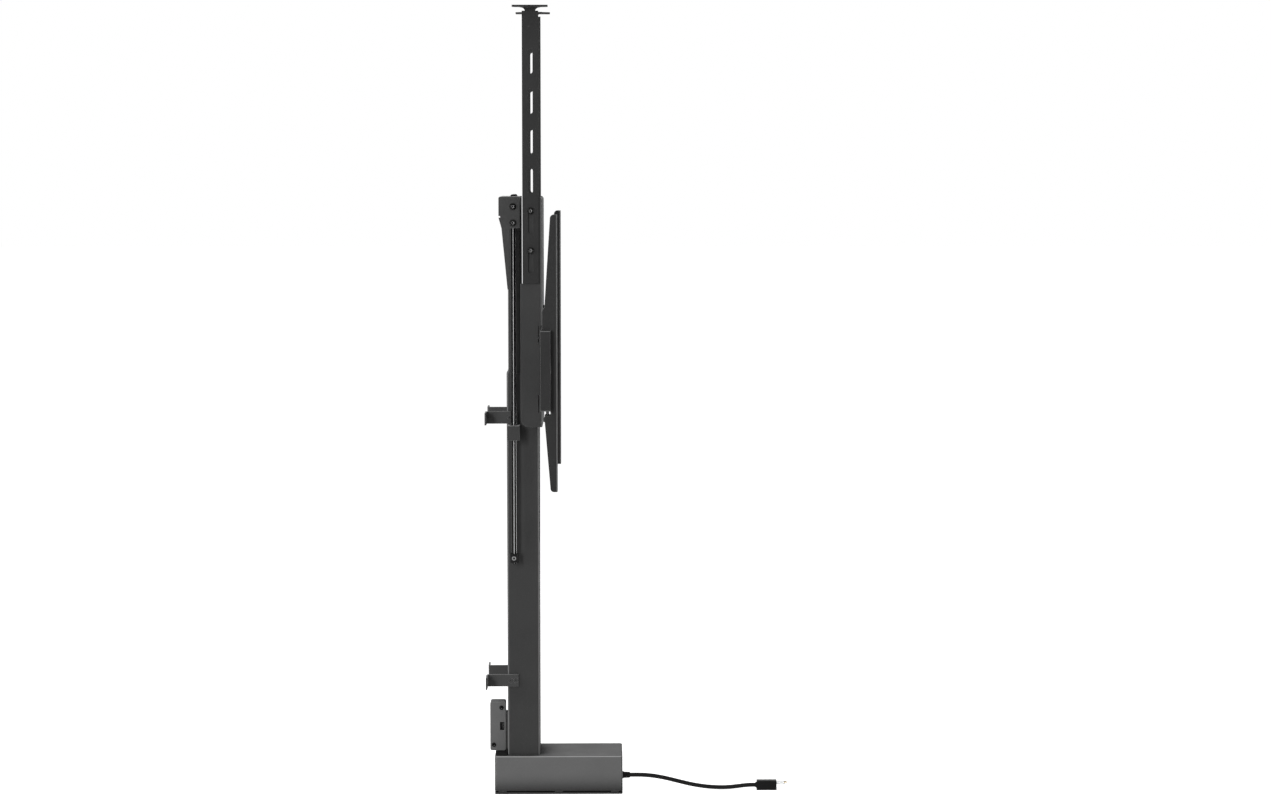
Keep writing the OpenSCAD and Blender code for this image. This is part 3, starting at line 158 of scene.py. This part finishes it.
def add_floor():
    """Pale floor: white to the eye with the object's soft shadow on it."""
    half = 30.0
    level = 232
    own_light = 0.81
    mesh = bpy.data.meshes.new("floor")
    corners = [(-half, -half, 0), (half, -half, 0), (half, half, 0), (-half, half, 0)]
    mesh.from_pydata(corners, [], [(0, 1, 2, 3)])
    floor = bpy.data.objects.new("floor", mesh)
    material = bpy.data.materials.new("floor")
    material.use_nodes = True
    tree = material.node_tree
    tree.nodes.remove(tree.nodes["Principled BSDF"])
    matt = add_node(tree, "ShaderNodeBsdfDiffuse", Color=grey(level))
    glow = add_node(tree, "ShaderNodeEmission", Color=(1, 1, 1, 1), Strength=own_light)
    both = tree.nodes.new("ShaderNodeAddShader")
    choice = tree.nodes.new("ShaderNodeMixShader")
    tree.links.new(matt.outputs[0], both.inputs[0])
    tree.links.new(glow.outputs[0], both.inputs[1])
    tree.links.new(seen_by_eye(tree), choice.inputs[0])
    tree.links.new(matt.outputs[0], choice.inputs[1])
    tree.links.new(both.outputs[0], choice.inputs[2])
    tree.links.new(choice.outputs[0], tree.nodes["Material Output"].inputs["Surface"])
    mesh.materials.append(material)
    bpy.context.scene.collection.objects.link(floor)


def add_lamp(name, place, target, size, watts):
    data = bpy.data.lights.new(name, "AREA")
    data.shape = "RECTANGLE"
    data.size = size[0]
    data.size_y = size[1]
    data.energy = watts
    lamp = bpy.data.objects.new(name, data)
    lamp.location = place
    aim = Vector(target) - Vector(place)
    lamp.rotation_euler = aim.to_track_quat("-Z", "Y").to_euler()
    bpy.context.scene.collection.objects.link(lamp)


def add_lamps():
    """Five soft boxes round the object, all turned to its middle."""
    middle = (0, 0, 0.6)
    add_lamp("key_box", (-3.2, 1.5, 1.4), middle, size=(0.6, 1.6), watts=70)
    add_lamp("rear_strip", (-1.5, 2.8, 1.2), middle, size=(0.3, 2.2), watts=34)
    add_lamp("front_box", (-0.4, -3.2, 1.3), middle, size=(0.6, 2.0), watts=44)
    add_lamp("far_box", (2.2, 0.7, 2.7), middle, size=(1.2, 1.2), watts=30)
    add_lamp("top_box", (-1.4, -0.2, 3.0), middle, size=(1.0, 1.0), watts=9)


# Finishes

def texture_space(tree, stretch=(1, 1, 1)):
    """The piece's own coordinates in metres, stretched along each axis."""
    place = add_node(tree, "ShaderNodeTexCoord")
    made = add_node(tree, "ShaderNodeMapping", Vector=place.outputs["Object"], Scale=stretch)
    return made.outputs["Vector"]


def noise(tree, size, detail=3.0, stretch=(1, 1, 1)):
    """Noise from about 0.3 to 0.7, with patches of about this size in metres."""
    space = texture_space(tree, stretch)
    made = add_node(tree, "ShaderNodeTexNoise", Vector=space, Scale=1 / size, Detail=detail)
    return made.outputs["Fac"]


def spread(tree, value, low, high, start=0.3, end=0.7):
    """Maps the span from start to end onto low to high."""
    span = {"From_Min": start, "From_Max": end, "To_Min": low, "To_Max": high}
    return add_node(tree, "ShaderNodeMapRange", Value=value, **span).outputs["Result"]


def mix_colour(tree, factor, first, second):
    """The first colour where the factor is 0, and the second where it is 1."""
    made = tree.nodes.new("ShaderNodeMix")
    made.data_type = "RGBA"
    connect(tree, made.inputs["Factor"], factor)
    sockets = [s for s in made.inputs if s.type == "RGBA"]
    connect(tree, sockets[0], first)
    connect(tree, sockets[1], second)
    return [s for s in made.outputs if s.type == "RGBA"][0]


def rounded_normal(tree, radius):
    """Normal of the surface with its edges rounded by this radius."""
    return add_node(tree, "ShaderNodeBevel", {"samples": 6}, Radius=radius).outputs["Normal"]


def edge_share(tree, normal):
    """0 on flat ground and 1 on an edge, from how far the rounded normal leans."""
    flat = add_node(tree, "ShaderNodeNewGeometry").outputs["Normal"]
    lean = tree.nodes.new("ShaderNodeVectorMath")
    lean.operation = "DOT_PRODUCT"
    tree.links.new(flat, lean.inputs[0])
    tree.links.new(normal, lean.inputs[1])
    return spread(tree, lean.outputs["Value"], 1.0, 0.0, start=0.75, end=0.98)


def squareness(tree):
    """1 where the surface squarely faces along an axis, and 0.71 half way round a fold."""
    flat = add_node(tree, "ShaderNodeNewGeometry").outputs["Normal"]
    size = tree.nodes.new("ShaderNodeVectorMath")
    size.operation = "ABSOLUTE"
    tree.links.new(flat, size.inputs[0])
    parts = add_node(tree, "ShaderNodeSeparateXYZ", Vector=size.outputs["Vector"])
    flat_share = combine(tree, "MAXIMUM", parts.outputs["X"], parts.outputs["Y"])
    return combine(tree, "MAXIMUM", flat_share, parts.outputs["Z"])


def facing(tree, direction, narrow, wide):
    """1 where the surface faces within the narrow angle of a direction, 0 beyond the wide one."""
    flat = add_node(tree, "ShaderNodeNewGeometry").outputs["Normal"]
    lean = tree.nodes.new("ShaderNodeVectorMath")
    lean.operation = "DOT_PRODUCT"
    lean.inputs[1].default_value = direction
    tree.links.new(flat, lean.inputs[0])
    start = math.cos(math.radians(wide))
    end = math.cos(math.radians(narrow))
    return spread(tree, lean.outputs["Value"], 0.0, 1.0, start, end)


def new_finish(name):
    material = bpy.data.materials.new(name)
    material.use_nodes = True
    return material, material.node_tree, material.node_tree.nodes["Principled BSDF"]


def set_surface(tree, shader, colour, roughness, height, depth, strength, normal=None):
    """Colour, roughness and relief of a finish; depth is the relief's height in metres."""
    connect(tree, shader.inputs["Base Color"], colour)
    connect(tree, shader.inputs["Roughness"], roughness)
    bump = add_node(tree, "ShaderNodeBump", Strength=strength, Distance=depth, Height=height)
    if normal is not None:
        tree.links.new(normal, bump.inputs["Normal"])
    tree.links.new(bump.outputs["Normal"], shader.inputs["Normal"])


def powder_coat(name, level, edge_highlight_level, roughness, lit_top_level=0, painted_shade_reach=0.0):
    """Fine-textured powder coat, with painted highlights that make it paler on edges and folds.

    The top level is painted on the faces that look up, as painted light from above, and the shade
    reach is how far the painted shade near the floor and in corners reaches. Either is left out where it
    is 0.
    """
    material, tree, shader = new_finish(name)
    shader.inputs["Specular IOR Level"].default_value = 0.1
    normal = rounded_normal(tree, radius=0.0012)
    broad = spread(tree, noise(tree, size=0.06, detail=4.0), 0.0, 1.0)
    ground = mix_colour(tree, broad, grey(level - 2), grey(level + 2))
    speck = spread(tree, noise(tree, size=0.0011, detail=2.0), 0.0, 1.0, start=0.58, end=0.7)
    ground = mix_colour(tree, speck, ground, grey(level + 6))
    # Painted light: faces that look up are painted paler, as if lit from above.
    if lit_top_level:
        upward = facing(tree, (0, 0, 1), narrow=20, wide=50)
        ground = mix_colour(tree, upward, ground, grey(lit_top_level))
    # Painted highlight: edges and folds are painted paler.
    fold = spread(tree, squareness(tree), 1.0, 0.0, start=0.72, end=0.93)
    edge_highlight_mask = combine(tree, "MAXIMUM", edge_share(tree, normal), fold)
    colour = mix_colour(tree, edge_highlight_mask, ground, grey(edge_highlight_level))
    # Painted shade: darker near the floor and in corners, where the surface is less open.
    if painted_shade_reach:
        open_share = add_node(tree, "ShaderNodeAmbientOcclusion", {"samples": 8}, Distance=painted_shade_reach)
        painted_shade_mask = spread(tree, open_share.outputs["AO"], 1.0, 0.0, start=0.55, end=0.95)
        colour = mix_colour(tree, painted_shade_mask, colour, grey(level / 3))
    gloss = spread(tree, noise(tree, size=0.025, detail=5.0), roughness + 0.07, roughness - 0.05)
    grain = noise(tree, size=0.0009, detail=2.0)
    set_surface(tree, shader, colour, gloss, grain, depth=0.00012, strength=0.7, normal=normal)
    return material


def bare_steel(name, level, roughness, stretch):
    """Bare or zinc-plated steel with fine marks, which the stretch draws out along an axis."""
    material, tree, shader = new_finish(name)
    shader.inputs["Metallic"].default_value = 1.0
    normal = rounded_normal(tree, radius=0.0004)
    marks = noise(tree, size=0.0008, detail=4.0, stretch=stretch)
    patches = spread(tree, noise(tree, size=0.012), 0.0, 1.0)
    colour = mix_colour(tree, patches, grey(level - 9, warm=0.015), grey(level + 9, warm=-0.01))
    gloss = spread(tree, marks, roughness - 0.08, roughness + 0.1)
    set_surface(tree, shader, colour, gloss, marks, depth=0.00004, strength=0.5, normal=normal)
    return material


def black_oxide(name, reach):
    """Oiled black oxide of the screws, with a painted highlight: pale within this reach of the rims round
    their sockets, standing in for the glint on the heads.
    """
    material, tree, shader = new_finish(name)
    shader.inputs["Specular IOR Level"].default_value = 0.05
    normal = rounded_normal(tree, radius=0.0012)
    patches = spread(tree, noise(tree, size=0.003, detail=4.0), 0.0, 1.0)
    ground = mix_colour(tree, patches, grey(7, warm=0.03), grey(13, warm=0.01))
    # Painted highlight: the rims round the sockets of heads that face along an axis are painted pale.
    level_share = spread(tree, squareness(tree), 0.0, 1.0, start=0.8, end=0.9)
    socket_highlight = combine(tree, "MULTIPLY", edge_share(tree, rounded_normal(tree, reach)), level_share)
    colour = mix_colour(tree, socket_highlight, ground, grey(225))
    gloss = spread(tree, noise(tree, size=0.0012), 0.3, 0.42)
    grain = noise(tree, size=0.0006)
    set_surface(tree, shader, colour, gloss, grain, depth=0.00003, strength=0.5, normal=normal)
    return material


def satin_paint(name, level):
    """Smooth satin paint of the motor's can."""
    material, tree, shader = new_finish(name)
    normal = rounded_normal(tree, radius=0.0006)
    broad = spread(tree, noise(tree, size=0.02), 0.0, 1.0)
    colour = mix_colour(tree, broad, grey(level), grey(level + 6))
    gloss = spread(tree, noise(tree, size=0.01, detail=4.0), 0.3, 0.4)
    ripple = noise(tree, size=0.0025, detail=2.0)
    set_surface(tree, shader, colour, gloss, ripple, depth=0.00003, strength=0.5, normal=normal)
    return material


def moulded_plastic(name, level, roughness):
    """Moulded plastic with a fine spark-eroded grain."""
    material, tree, shader = new_finish(name)
    shader.inputs["Specular IOR Level"].default_value = 0.08
    normal = rounded_normal(tree, radius=0.0005)
    broad = spread(tree, noise(tree, size=0.015), 0.0, 1.0)
    ground = mix_colour(tree, broad, grey(level), grey(level + 4))
    # Painted highlight: edges are painted a little paler.
    colour = mix_colour(tree, edge_share(tree, normal), ground, grey(level + 12))
    gloss = spread(tree, noise(tree, size=0.004), roughness - 0.06, roughness + 0.06)
    grain = noise(tree, size=0.0005, detail=2.0)
    set_surface(tree, shader, colour, gloss, grain, depth=0.00005, strength=0.6, normal=normal)
    return material


def cable_jacket(name):
    """Satin jacket of the lead, with faint extrusion lines and a little dust."""
    material, tree, shader = new_finish(name)
    shader.inputs["Specular IOR Level"].default_value = 0.12
    lit_top_level = spread(tree, noise(tree, size=0.006, detail=4.0), 0.0, 1.0, start=0.5, end=0.75)
    colour = mix_colour(tree, lit_top_level, grey(7), grey(13))
    lines = noise(tree, size=0.0007, detail=2.0, stretch=(1, 0.06, 1))
    gloss = spread(tree, noise(tree, size=0.003), 0.4, 0.52)
    set_surface(tree, shader, colour, gloss, lines, depth=0.00004, strength=0.5)
    return material


def clear_plastic(name):
    """Clear moulded plug, with slight flow marks."""
    material, tree, shader = new_finish(name)
    shader.inputs["Transmission Weight"].default_value = 1.0
    shader.inputs["IOR"].default_value = 1.57
    normal = rounded_normal(tree, radius=0.0004)
    tint = spread(tree, noise(tree, size=0.004, detail=2.0), 0.0, 1.0)
    colour = mix_colour(tree, tint, (0.93, 0.95, 0.96, 1), (0.97, 0.98, 0.98, 1))
    gloss = spread(tree, noise(tree, size=0.002), 0.03, 0.1)
    flow = noise(tree, size=0.003, detail=2.0)
    set_surface(tree, shader, colour, gloss, flow, depth=0.00003, strength=0.4, normal=normal)
    return material


def bronze(name):
    """Machined bronze of the nut and the worm wheel."""
    material, tree, shader = new_finish(name)
    shader.inputs["Metallic"].default_value = 1.0
    normal = rounded_normal(tree, radius=0.0003)
    patches = spread(tree, noise(tree, size=0.006, detail=4.0), 0.0, 1.0)
    colour = mix_colour(tree, patches, (0.36, 0.24, 0.09, 1), (0.47, 0.33, 0.13, 1))
    marks = noise(tree, size=0.0006, stretch=(1, 1, 0.15))
    gloss = spread(tree, marks, 0.28, 0.42)
    set_surface(tree, shader, colour, gloss, marks, depth=0.00004, strength=0.5, normal=normal)
    return material


def painted_highlight_track(tree, colour, turn, level, narrow, wide):
    """Painted highlight: a bright line along both sides of a rod, standing in for a lamp's reflection,
    turned from the X axis by an angle in degrees.
    """
    away = math.radians(turn)
    for side in (-1, 1):
        track = facing(tree, (side * math.cos(away), math.sin(away), 0), narrow, wide)
        colour = mix_colour(tree, track, colour, grey(level))
    return colour


def polished_rod(name):
    """Black ground rod with painted highlights: bright lines along both sides that stand in for lamp
    reflections, one of them more in front.
    """
    material, tree, shader = new_finish(name)
    shader.inputs["Specular IOR Level"].default_value = 0.06
    normal = rounded_normal(tree, radius=0.0005)
    marks = noise(tree, size=0.0006, stretch=(1, 1, 0.01))
    colour = mix_colour(tree, spread(tree, marks, 0.0, 1.0), grey(8), grey(14))
    # Painted highlights: two bright lines on each rod stand in for the reflections of the lamps.
    colour = painted_highlight_track(tree, colour, turn=-2, level=200, narrow=4, wide=8)
    colour = painted_highlight_track(tree, colour, turn=-71, level=215, narrow=8, wide=13)
    gloss = spread(tree, marks, 0.1, 0.18)
    set_surface(tree, shader, colour, gloss, marks, depth=0.00001, strength=0.4, normal=normal)
    return material


def gold_contact(name):
    """Thin gold plating of the plug's blades."""
    material, tree, shader = new_finish(name)
    shader.inputs["Metallic"].default_value = 1.0
    patches = spread(tree, noise(tree, size=0.002), 0.0, 1.0)
    colour = mix_colour(tree, patches, (0.7, 0.56, 0.34, 1), (0.8, 0.66, 0.42, 1))
    gloss = spread(tree, noise(tree, size=0.0008, detail=2.0), 0.18, 0.28)
    marks = noise(tree, size=0.0005, detail=2.0)
    set_surface(tree, shader, colour, gloss, marks, depth=0.00002, strength=0.3)
    return material


def make_finishes():
    """One finish for each material slot of the record."""
    return {
        "charcoal_steel": powder_coat("charcoal_coat", level=51, edge_highlight_level=118, roughness=0.55),
        "dark_steel": powder_coat("dark_coat", level=38, edge_highlight_level=54, roughness=0.55),
        "base_grey": powder_coat("grey_coat", level=95, edge_highlight_level=160, roughness=0.68, painted_shade_reach=0.034),
        "plain_steel": bare_steel("zinc_steel", level=172, roughness=0.34, stretch=(1, 1, 0.08)),
        "black_screw": black_oxide("black_oxide", reach=0.0012),
        "motor_black": satin_paint("motor_paint", level=30),
        "black_plastic": moulded_plastic("black_moulding", level=13, roughness=0.45),
        "pale_plastic": moulded_plastic("pale_moulding", level=222, roughness=0.48),
        "black_cable": cable_jacket("cable_jacket"),
        "clear_plastic": clear_plastic("clear_moulding"),
        "bronze": bronze("bronze"),
        "dark_rod": polished_rod("polished_rod"),
    }


def dress_nodes(finishes):
    """Gives every CAD node the finish of its slot, and some nodes a finish of their own, several of them
    copies of a coat painted lighter or with other painted highlights.
    """
    box_coat = powder_coat("box_coat", level=97, edge_highlight_level=150, roughness=0.68)
    block_coat = powder_coat("block_coat", level=53, edge_highlight_level=118, roughness=0.55, lit_top_level=190)
    strap_coat = powder_coat("strap_coat", level=62, edge_highlight_level=124, roughness=0.55, lit_top_level=120)
    arm_coat = powder_coat("arm_coat", level=38, edge_highlight_level=115, roughness=0.55)
    # Painted light: the control box bracket and the straps are lighter copies of the charcoal coat,
    # against the shade they stand in, and the head bracket is a little lighter; the carriage and the arms
    # carry a fainter and a stronger painted edge highlight, and the guide blocks a painted top light.
    own = {
        "carriage": powder_coat("carriage_coat", level=51, edge_highlight_level=92, roughness=0.55),
        "mounting_plate": arm_coat,
        "control_box_bracket": powder_coat("bracket_coat", level=84, edge_highlight_level=110, roughness=0.6),
        "control_box_body": box_coat,
        "control_box_cover": box_coat,
        "control_box_screws": black_oxide("small_black_oxide", reach=0.0002),
        "head_bracket": powder_coat("head_coat", level=57, edge_highlight_level=124, roughness=0.55, lit_top_level=120),
        "strap_screws": powder_coat("screw_paint", level=62, edge_highlight_level=62, roughness=0.55),
    }
    for side in ("left", "right"):
        own[side + "_guide_block"] = block_coat
        own["upper_" + side + "_strap"] = strap_coat
        own["lower_" + side + "_strap"] = strap_coat
        own[side + "_screen_arm"] = arm_coat
    for part in frame["record"]["subparts"]:
        materials = frame["nodes"][part["node"]].data.materials
        materials.clear()
        materials.append(own.get(part["node"], finishes[part["material_slot"]]))


# Pieces

def place_piece(piece, body, finish):
    bpy.context.scene.collection.objects.link(piece)
    piece.data.materials.append(finish)
    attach(piece, body)
    return piece


def add_mesh(name, points, faces, body, finish, smooth=False):
    mesh = bpy.data.meshes.new(name)
    mesh.from_pydata(points, [], faces)
    mesh.update()
    if smooth:
        mesh.shade_smooth()
        mesh.set_sharp_from_angle(angle=SHARP_ANGLE)
    return place_piece(bpy.data.objects.new(name, mesh), body, finish)


def add_turned(name, rings, body, finish):
    """Closed skin over a row of rings of points, flat at both ends."""
    count = len(rings[0])
    points = [point for ring in rings for point in ring]
    faces = [tuple(reversed(range(count)))]
    for i in range(len(rings) - 1):
        for k in range(count):
            a = i * count + k
            b = i * count + (k + 1) % count
            faces.append((a, b, b + count, a + count))
    faces.append(tuple(range(len(points) - count, len(points))))
    return add_mesh(name, points, faces, body, finish, smooth=True)


def ring(centre, axis, along, radius):
    """Points round an axis. The radius is one length, or a function of the share of a turn."""
    first, second = (Vector(direction) for direction in RING_PLANES[axis])
    middle = Vector(centre) + along * first.cross(second)
    points = []
    for k in range(RING_POINTS):
        turn = k / RING_POINTS
        length = radius(turn) if callable(radius) else radius
        angle = 2 * math.pi * turn
        points.append(middle + length * (math.cos(angle) * first + math.sin(angle) * second))
    return points


def thread(centre, axis, start, end, radius, depth, pitch, starts):
    """Rings of a right-hand trapezoid thread that runs along the axis from start to end.

    A third of the pitch is crest, a third is root, and the two flanks share the rest.
    """
    def height(along):
        def at(turn):
            phase = (along / pitch - starts * turn) % 1
            from_crest = abs(phase - 0.5)
            cut = min(max(6 * from_crest - 1, 0), 1)
            return radius - depth * cut
        return at
    steps = round((end - start) / (pitch / THREAD_STEPS))
    places = [start + (end - start) * i / steps for i in range(steps + 1)]
    return [ring(centre, axis, along, height(along)) for along in places]


def add_lead_screw(finish):
    """Lead screw with a four-start thread between its plain ends."""
    low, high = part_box("lead_screw")
    centre = ((low.x + high.x) / 2, (low.y + high.y) / 2, 0)
    radius = (high.x - low.x) / 2
    depth = 0.001
    pitch = 0.004
    starts = 4
    plain_foot = 0.09
    plain_top = 0.006
    foot = low.z + plain_foot
    top = high.z - plain_top
    rings = [ring(centre, "Z", low.z, radius), ring(centre, "Z", foot, radius)]
    rings += thread(centre, "Z", foot, top, radius, depth, pitch, starts)
    rings.append(ring(centre, "Z", top, radius - depth))
    rings.append(ring(centre, "Z", high.z - depth, radius - depth))
    rings.append(ring(centre, "Z", high.z, radius - 2 * depth))
    piece = add_turned("threaded_lead_screw", rings, "lead_screw", finish)
    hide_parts("lead_screw")


def add_worm(finish):
    """Motor shaft with its four-start worm, which spans most of the wheel."""
    low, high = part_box("worm_shaft")
    wheel_low, wheel_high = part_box("worm_wheel")
    centre = ((low.x + high.x) / 2, 0, (low.z + high.z) / 2)
    radius = (high.x - low.x) / 2
    shaft = 0.003
    bevel = 0.0004
    depth = 0.0022
    module = 0.00125
    pitch = module * math.pi
    starts = 4
    span_share = 0.8
    middle = (wheel_low.y + wheel_high.y) / 2
    start = middle - span_share * (wheel_high.y - wheel_low.y) / 2
    end = 2 * middle - start
    rings = [ring(centre, "Y", low.y, shaft - bevel), ring(centre, "Y", low.y + bevel, shaft)]
    rings.append(ring(centre, "Y", start, shaft))
    rings += thread(centre, "Y", start, end, radius, depth, pitch, starts)
    rings.append(ring(centre, "Y", end, shaft))
    rings += [ring(centre, "Y", high.y - bevel, shaft), ring(centre, "Y", high.y, shaft - bevel)]
    piece = add_turned("threaded_worm", rings, "worm", finish)
    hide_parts("worm_shaft")


def add_arm_lock(side, finish):
    """Thumb screw with a fluted head and a fine thread."""
    low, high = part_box(side + "_arm_lock")
    centre = ((low.x + high.x) / 2, (low.y + high.y) / 2, 0)
    radius = (high.x - low.x) / 2
    head = 0.008
    bevel = 0.0008
    flutes = RING_POINTS // 3
    flute = 0.0006
    screw = 0.0025
    depth = 0.0003
    pitch = 0.0008
    starts = 1
    neck = low.z + head

    def fluted(turn):
        return radius - flute * (0.5 + 0.5 * math.cos(2 * math.pi * turn * flutes))
    rings = [ring(centre, "Z", low.z, radius - 2 * bevel), ring(centre, "Z", low.z + bevel, fluted)]
    rings += [ring(centre, "Z", neck - bevel, fluted), ring(centre, "Z", neck, radius - 2 * bevel)]
    rings.append(ring(centre, "Z", neck, screw))
    rings += thread(centre, "Z", neck, high.z - bevel, screw, depth, pitch, starts)
    rings.append(ring(centre, "Z", high.z, screw - bevel))
    piece = add_turned(side + "_thumb_screw", rings, side + "_arm", finish)
    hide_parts(side + "_arm_lock")


def add_stop_screw(side, sign, finish):
    """Set screw in the outer side of a rod's stop collar, with a drilled socket."""
    low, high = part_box("rod_stops")
    face = high.x if sign > 0 else low.x
    centre = (face, (low.y + high.y) / 2, (low.z + high.z) / 2)
    proud = 0.0006
    buried = 0.0025
    radius = 0.0034
    bevel = 0.0004
    socket = 0.0016
    socket_depth = 0.0012
    drill_depth = 0.0015
    drill_tip = 0.0004
    profile = [
        (-buried, radius),
        (proud - bevel, radius),
        (proud, radius - bevel),
        (proud, socket),
        (-socket_depth, socket),
        (-drill_depth, drill_tip),
    ]
    rings = [ring(centre, "X", sign * along, width) for along, width in profile]
    if sign < 0:
        rings = [list(reversed(r)) for r in rings]
    add_turned(side + "_stop_screw", rings, "mast", finish)


def add_bars(name, boxes, body, finish):
    """Several square bars in one piece, each from its low to its high corner."""
    points = []
    faces = []
    for low, high in boxes:
        first = len(points)
        points += product(*zip(low, high))
        for face in BOX_FACES:
            faces.append(tuple(first + i for i in face))
    return add_mesh(name, points, faces, body, finish)


def add_box_jack(plastic, metal):
    """Lined socket in the control box's cover, with six spring contacts across it."""
    low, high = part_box("control_box_cover")
    liner = 0.0008
    width = 0.007
    height = 0.013
    depth = 0.008
    sunk = 0.0005
    margin = 0.002
    face = low.x + sunk
    back = high.x + depth
    front = low.y + margin
    rear = front + width
    middle = (low.z + high.z) / 2
    foot = middle - height / 2
    top = foot + height
    walls = [
        ((face, front, foot), (back, front + liner, top)),
        ((face, rear - liner, foot), (back, rear, top)),
        ((face, front, foot), (back, rear, foot + liner)),
        ((face, front, top - liner), (back, rear, top)),
        ((back - liner, front, foot), (back, rear, top)),
    ]
    add_bars("box_jack", walls, "frame", plastic)
    count = 6
    pitch = 0.0017
    half_contact = 0.00015
    contact_depths = (0.0012, 0.0016)
    contact_gap = 0.0025
    contacts = []
    for i in range(count):
        z = middle + (i - (count - 1) / 2) * pitch
        contact_low = (face + contact_depths[0], front + liner, z - half_contact)
        contact_high = (face + contact_depths[1], rear - contact_gap, z + half_contact)
        contacts.append((contact_low, contact_high))
    add_bars("box_jack_contacts", contacts, "frame", metal)


def add_prisms(name, prisms, body, finish):
    """Several prisms in one piece, each an outline of points pushed along a vector."""
    points = []
    faces = []
    for outline, push in prisms:
        first = len(points)
        count = len(outline)
        points += [Vector(point) for point in outline]
        points += [Vector(point) + Vector(push) for point in outline]
        faces.append(tuple(first + k for k in range(count)))
        faces.append(tuple(first + count + k for k in range(count)))
        for k in range(count):
            a = first + k
            b = first + (k + 1) % count
            faces.append((a, b, b + count, a + count))
    piece = add_mesh(name, points, faces, body, finish)
    shape = bmesh.new()
    shape.from_mesh(piece.data)
    bmesh.ops.recalc_face_normals(shape, faces=shape.faces)
    shape.to_mesh(piece.data)
    shape.free()


def add_post_flares(side, sign, finish):
    """Rounded flares that widen a lid post's neck into its tab."""
    low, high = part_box(side + "_lid_post")
    middle = (low.y + high.y) / 2
    inner = high.x if sign < 0 else low.x
    sheet = 0.0025
    skin = 0.00005
    half_neck = 0.008
    reach = 0.007
    half_tab = half_neck + reach
    drop = 0.005
    tab_slope = 0.5
    arc_steps = 6
    face = inner + sign * skin
    under = high.z - sheet
    prisms = []
    for turn in (-1, 1):
        edge = []
        for i in range(arc_steps + 1):
            angle = math.radians(90 * i / arc_steps)
            across = half_neck + reach * (1 - math.cos(angle))
            edge.append((face, middle + turn * across, under - drop + drop * math.sin(angle)))
        edge.append((face, middle + turn * half_tab, high.z - skin))
        edge.append((face, middle + turn * half_neck, high.z - skin))
        prisms.append((edge, (sign * (sheet - 2 * skin), 0, 0)))
        plan = [(sheet - skin, half_neck), (sheet - skin, half_tab), (sheet + tab_slope * reach, half_tab)]
        web = [(inner + sign * x, middle + turn * y, under + skin) for x, y in plan]
        prisms.append((web, (0, 0, sheet - 2 * skin)))
    add_prisms(side + "_post_flares", prisms, side + "_post", finish)


def add_plug_contacts(metal, insulation):
    """Eight contact blades in the clear plug, and the wires that lead to them."""
    low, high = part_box("plug_tip")
    middle = (low.x + high.x) / 2
    count = 8
    pitch = 0.00102
    half_blade = 0.00016
    blade_y = (low.y + 0.0008, low.y + 0.0052)
    blade_z = (high.z - 0.0022, high.z - 0.0006)
    half_wire = 0.00042
    wire_y = (low.y + 0.003, high.y - 0.0003)
    wire_z = (high.z - 0.0034, high.z - 0.0023)
    blades = []
    wires = []
    for i in range(count):
        x = middle + (i - (count - 1) / 2) * pitch
        blades.append(((x - half_blade, blade_y[0], blade_z[0]), (x + half_blade, blade_y[1], blade_z[1])))
        wires.append(((x - half_wire, wire_y[0], wire_z[0]), (x + half_wire, wire_y[1], wire_z[1])))
    return [add_bars("plug_blades", blades, "frame", metal),
            add_bars("plug_wires", wires, "frame", insulation)]


def add_lead(finish):
    """The motor lead as one smooth curve along its route."""
    curve = bpy.data.curves.new("motor_lead_cord", "CURVE")
    curve.dimensions = "3D"
    curve.bevel_depth = LEAD_DIAMETER / 2
    curve.bevel_resolution = 8
    curve.resolution_u = 8
    curve.use_fill_caps = True
    spline = curve.splines.new("BEZIER")
    spline.bezier_points.add(len(LEAD_YZ) - 1)
    for point, (y, z) in zip(spline.bezier_points, LEAD_YZ):
        point.co = (LEAD_X, y, z)
        point.handle_left_type = "AUTO"
        point.handle_right_type = "AUTO"
    lead = place_piece(bpy.data.objects.new("motor_lead_cord", curve), "frame", finish)
    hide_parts("motor_lead")
    steps = zip(LEAD_YZ, LEAD_YZ[1:])
    length = sum(math.hypot(b[0] - a[0], b[1] - a[1]) for a, b in steps)


add_camera()
add_world()
add_floor()
add_lamps()
finishes = make_finishes()
dress_nodes(finishes)
contacts = add_plug_contacts(gold_contact("gold_contact"), finishes["pale_plastic"])
add_lead(finishes["black_cable"])
add_lead_screw(finishes["plain_steel"])
add_worm(finishes["plain_steel"])
dull_steel = bare_steel("dull_steel", level=105, roughness=0.5, stretch=(1, 1, 1))
for side, sign in (("left", -1), ("right", 1)):
    add_arm_lock(side, finishes["black_screw"])
    add_stop_screw(side, sign, dull_steel)
    add_post_flares(side, sign, finishes["dark_steel"])
add_box_jack(finishes["black_plastic"], dull_steel)
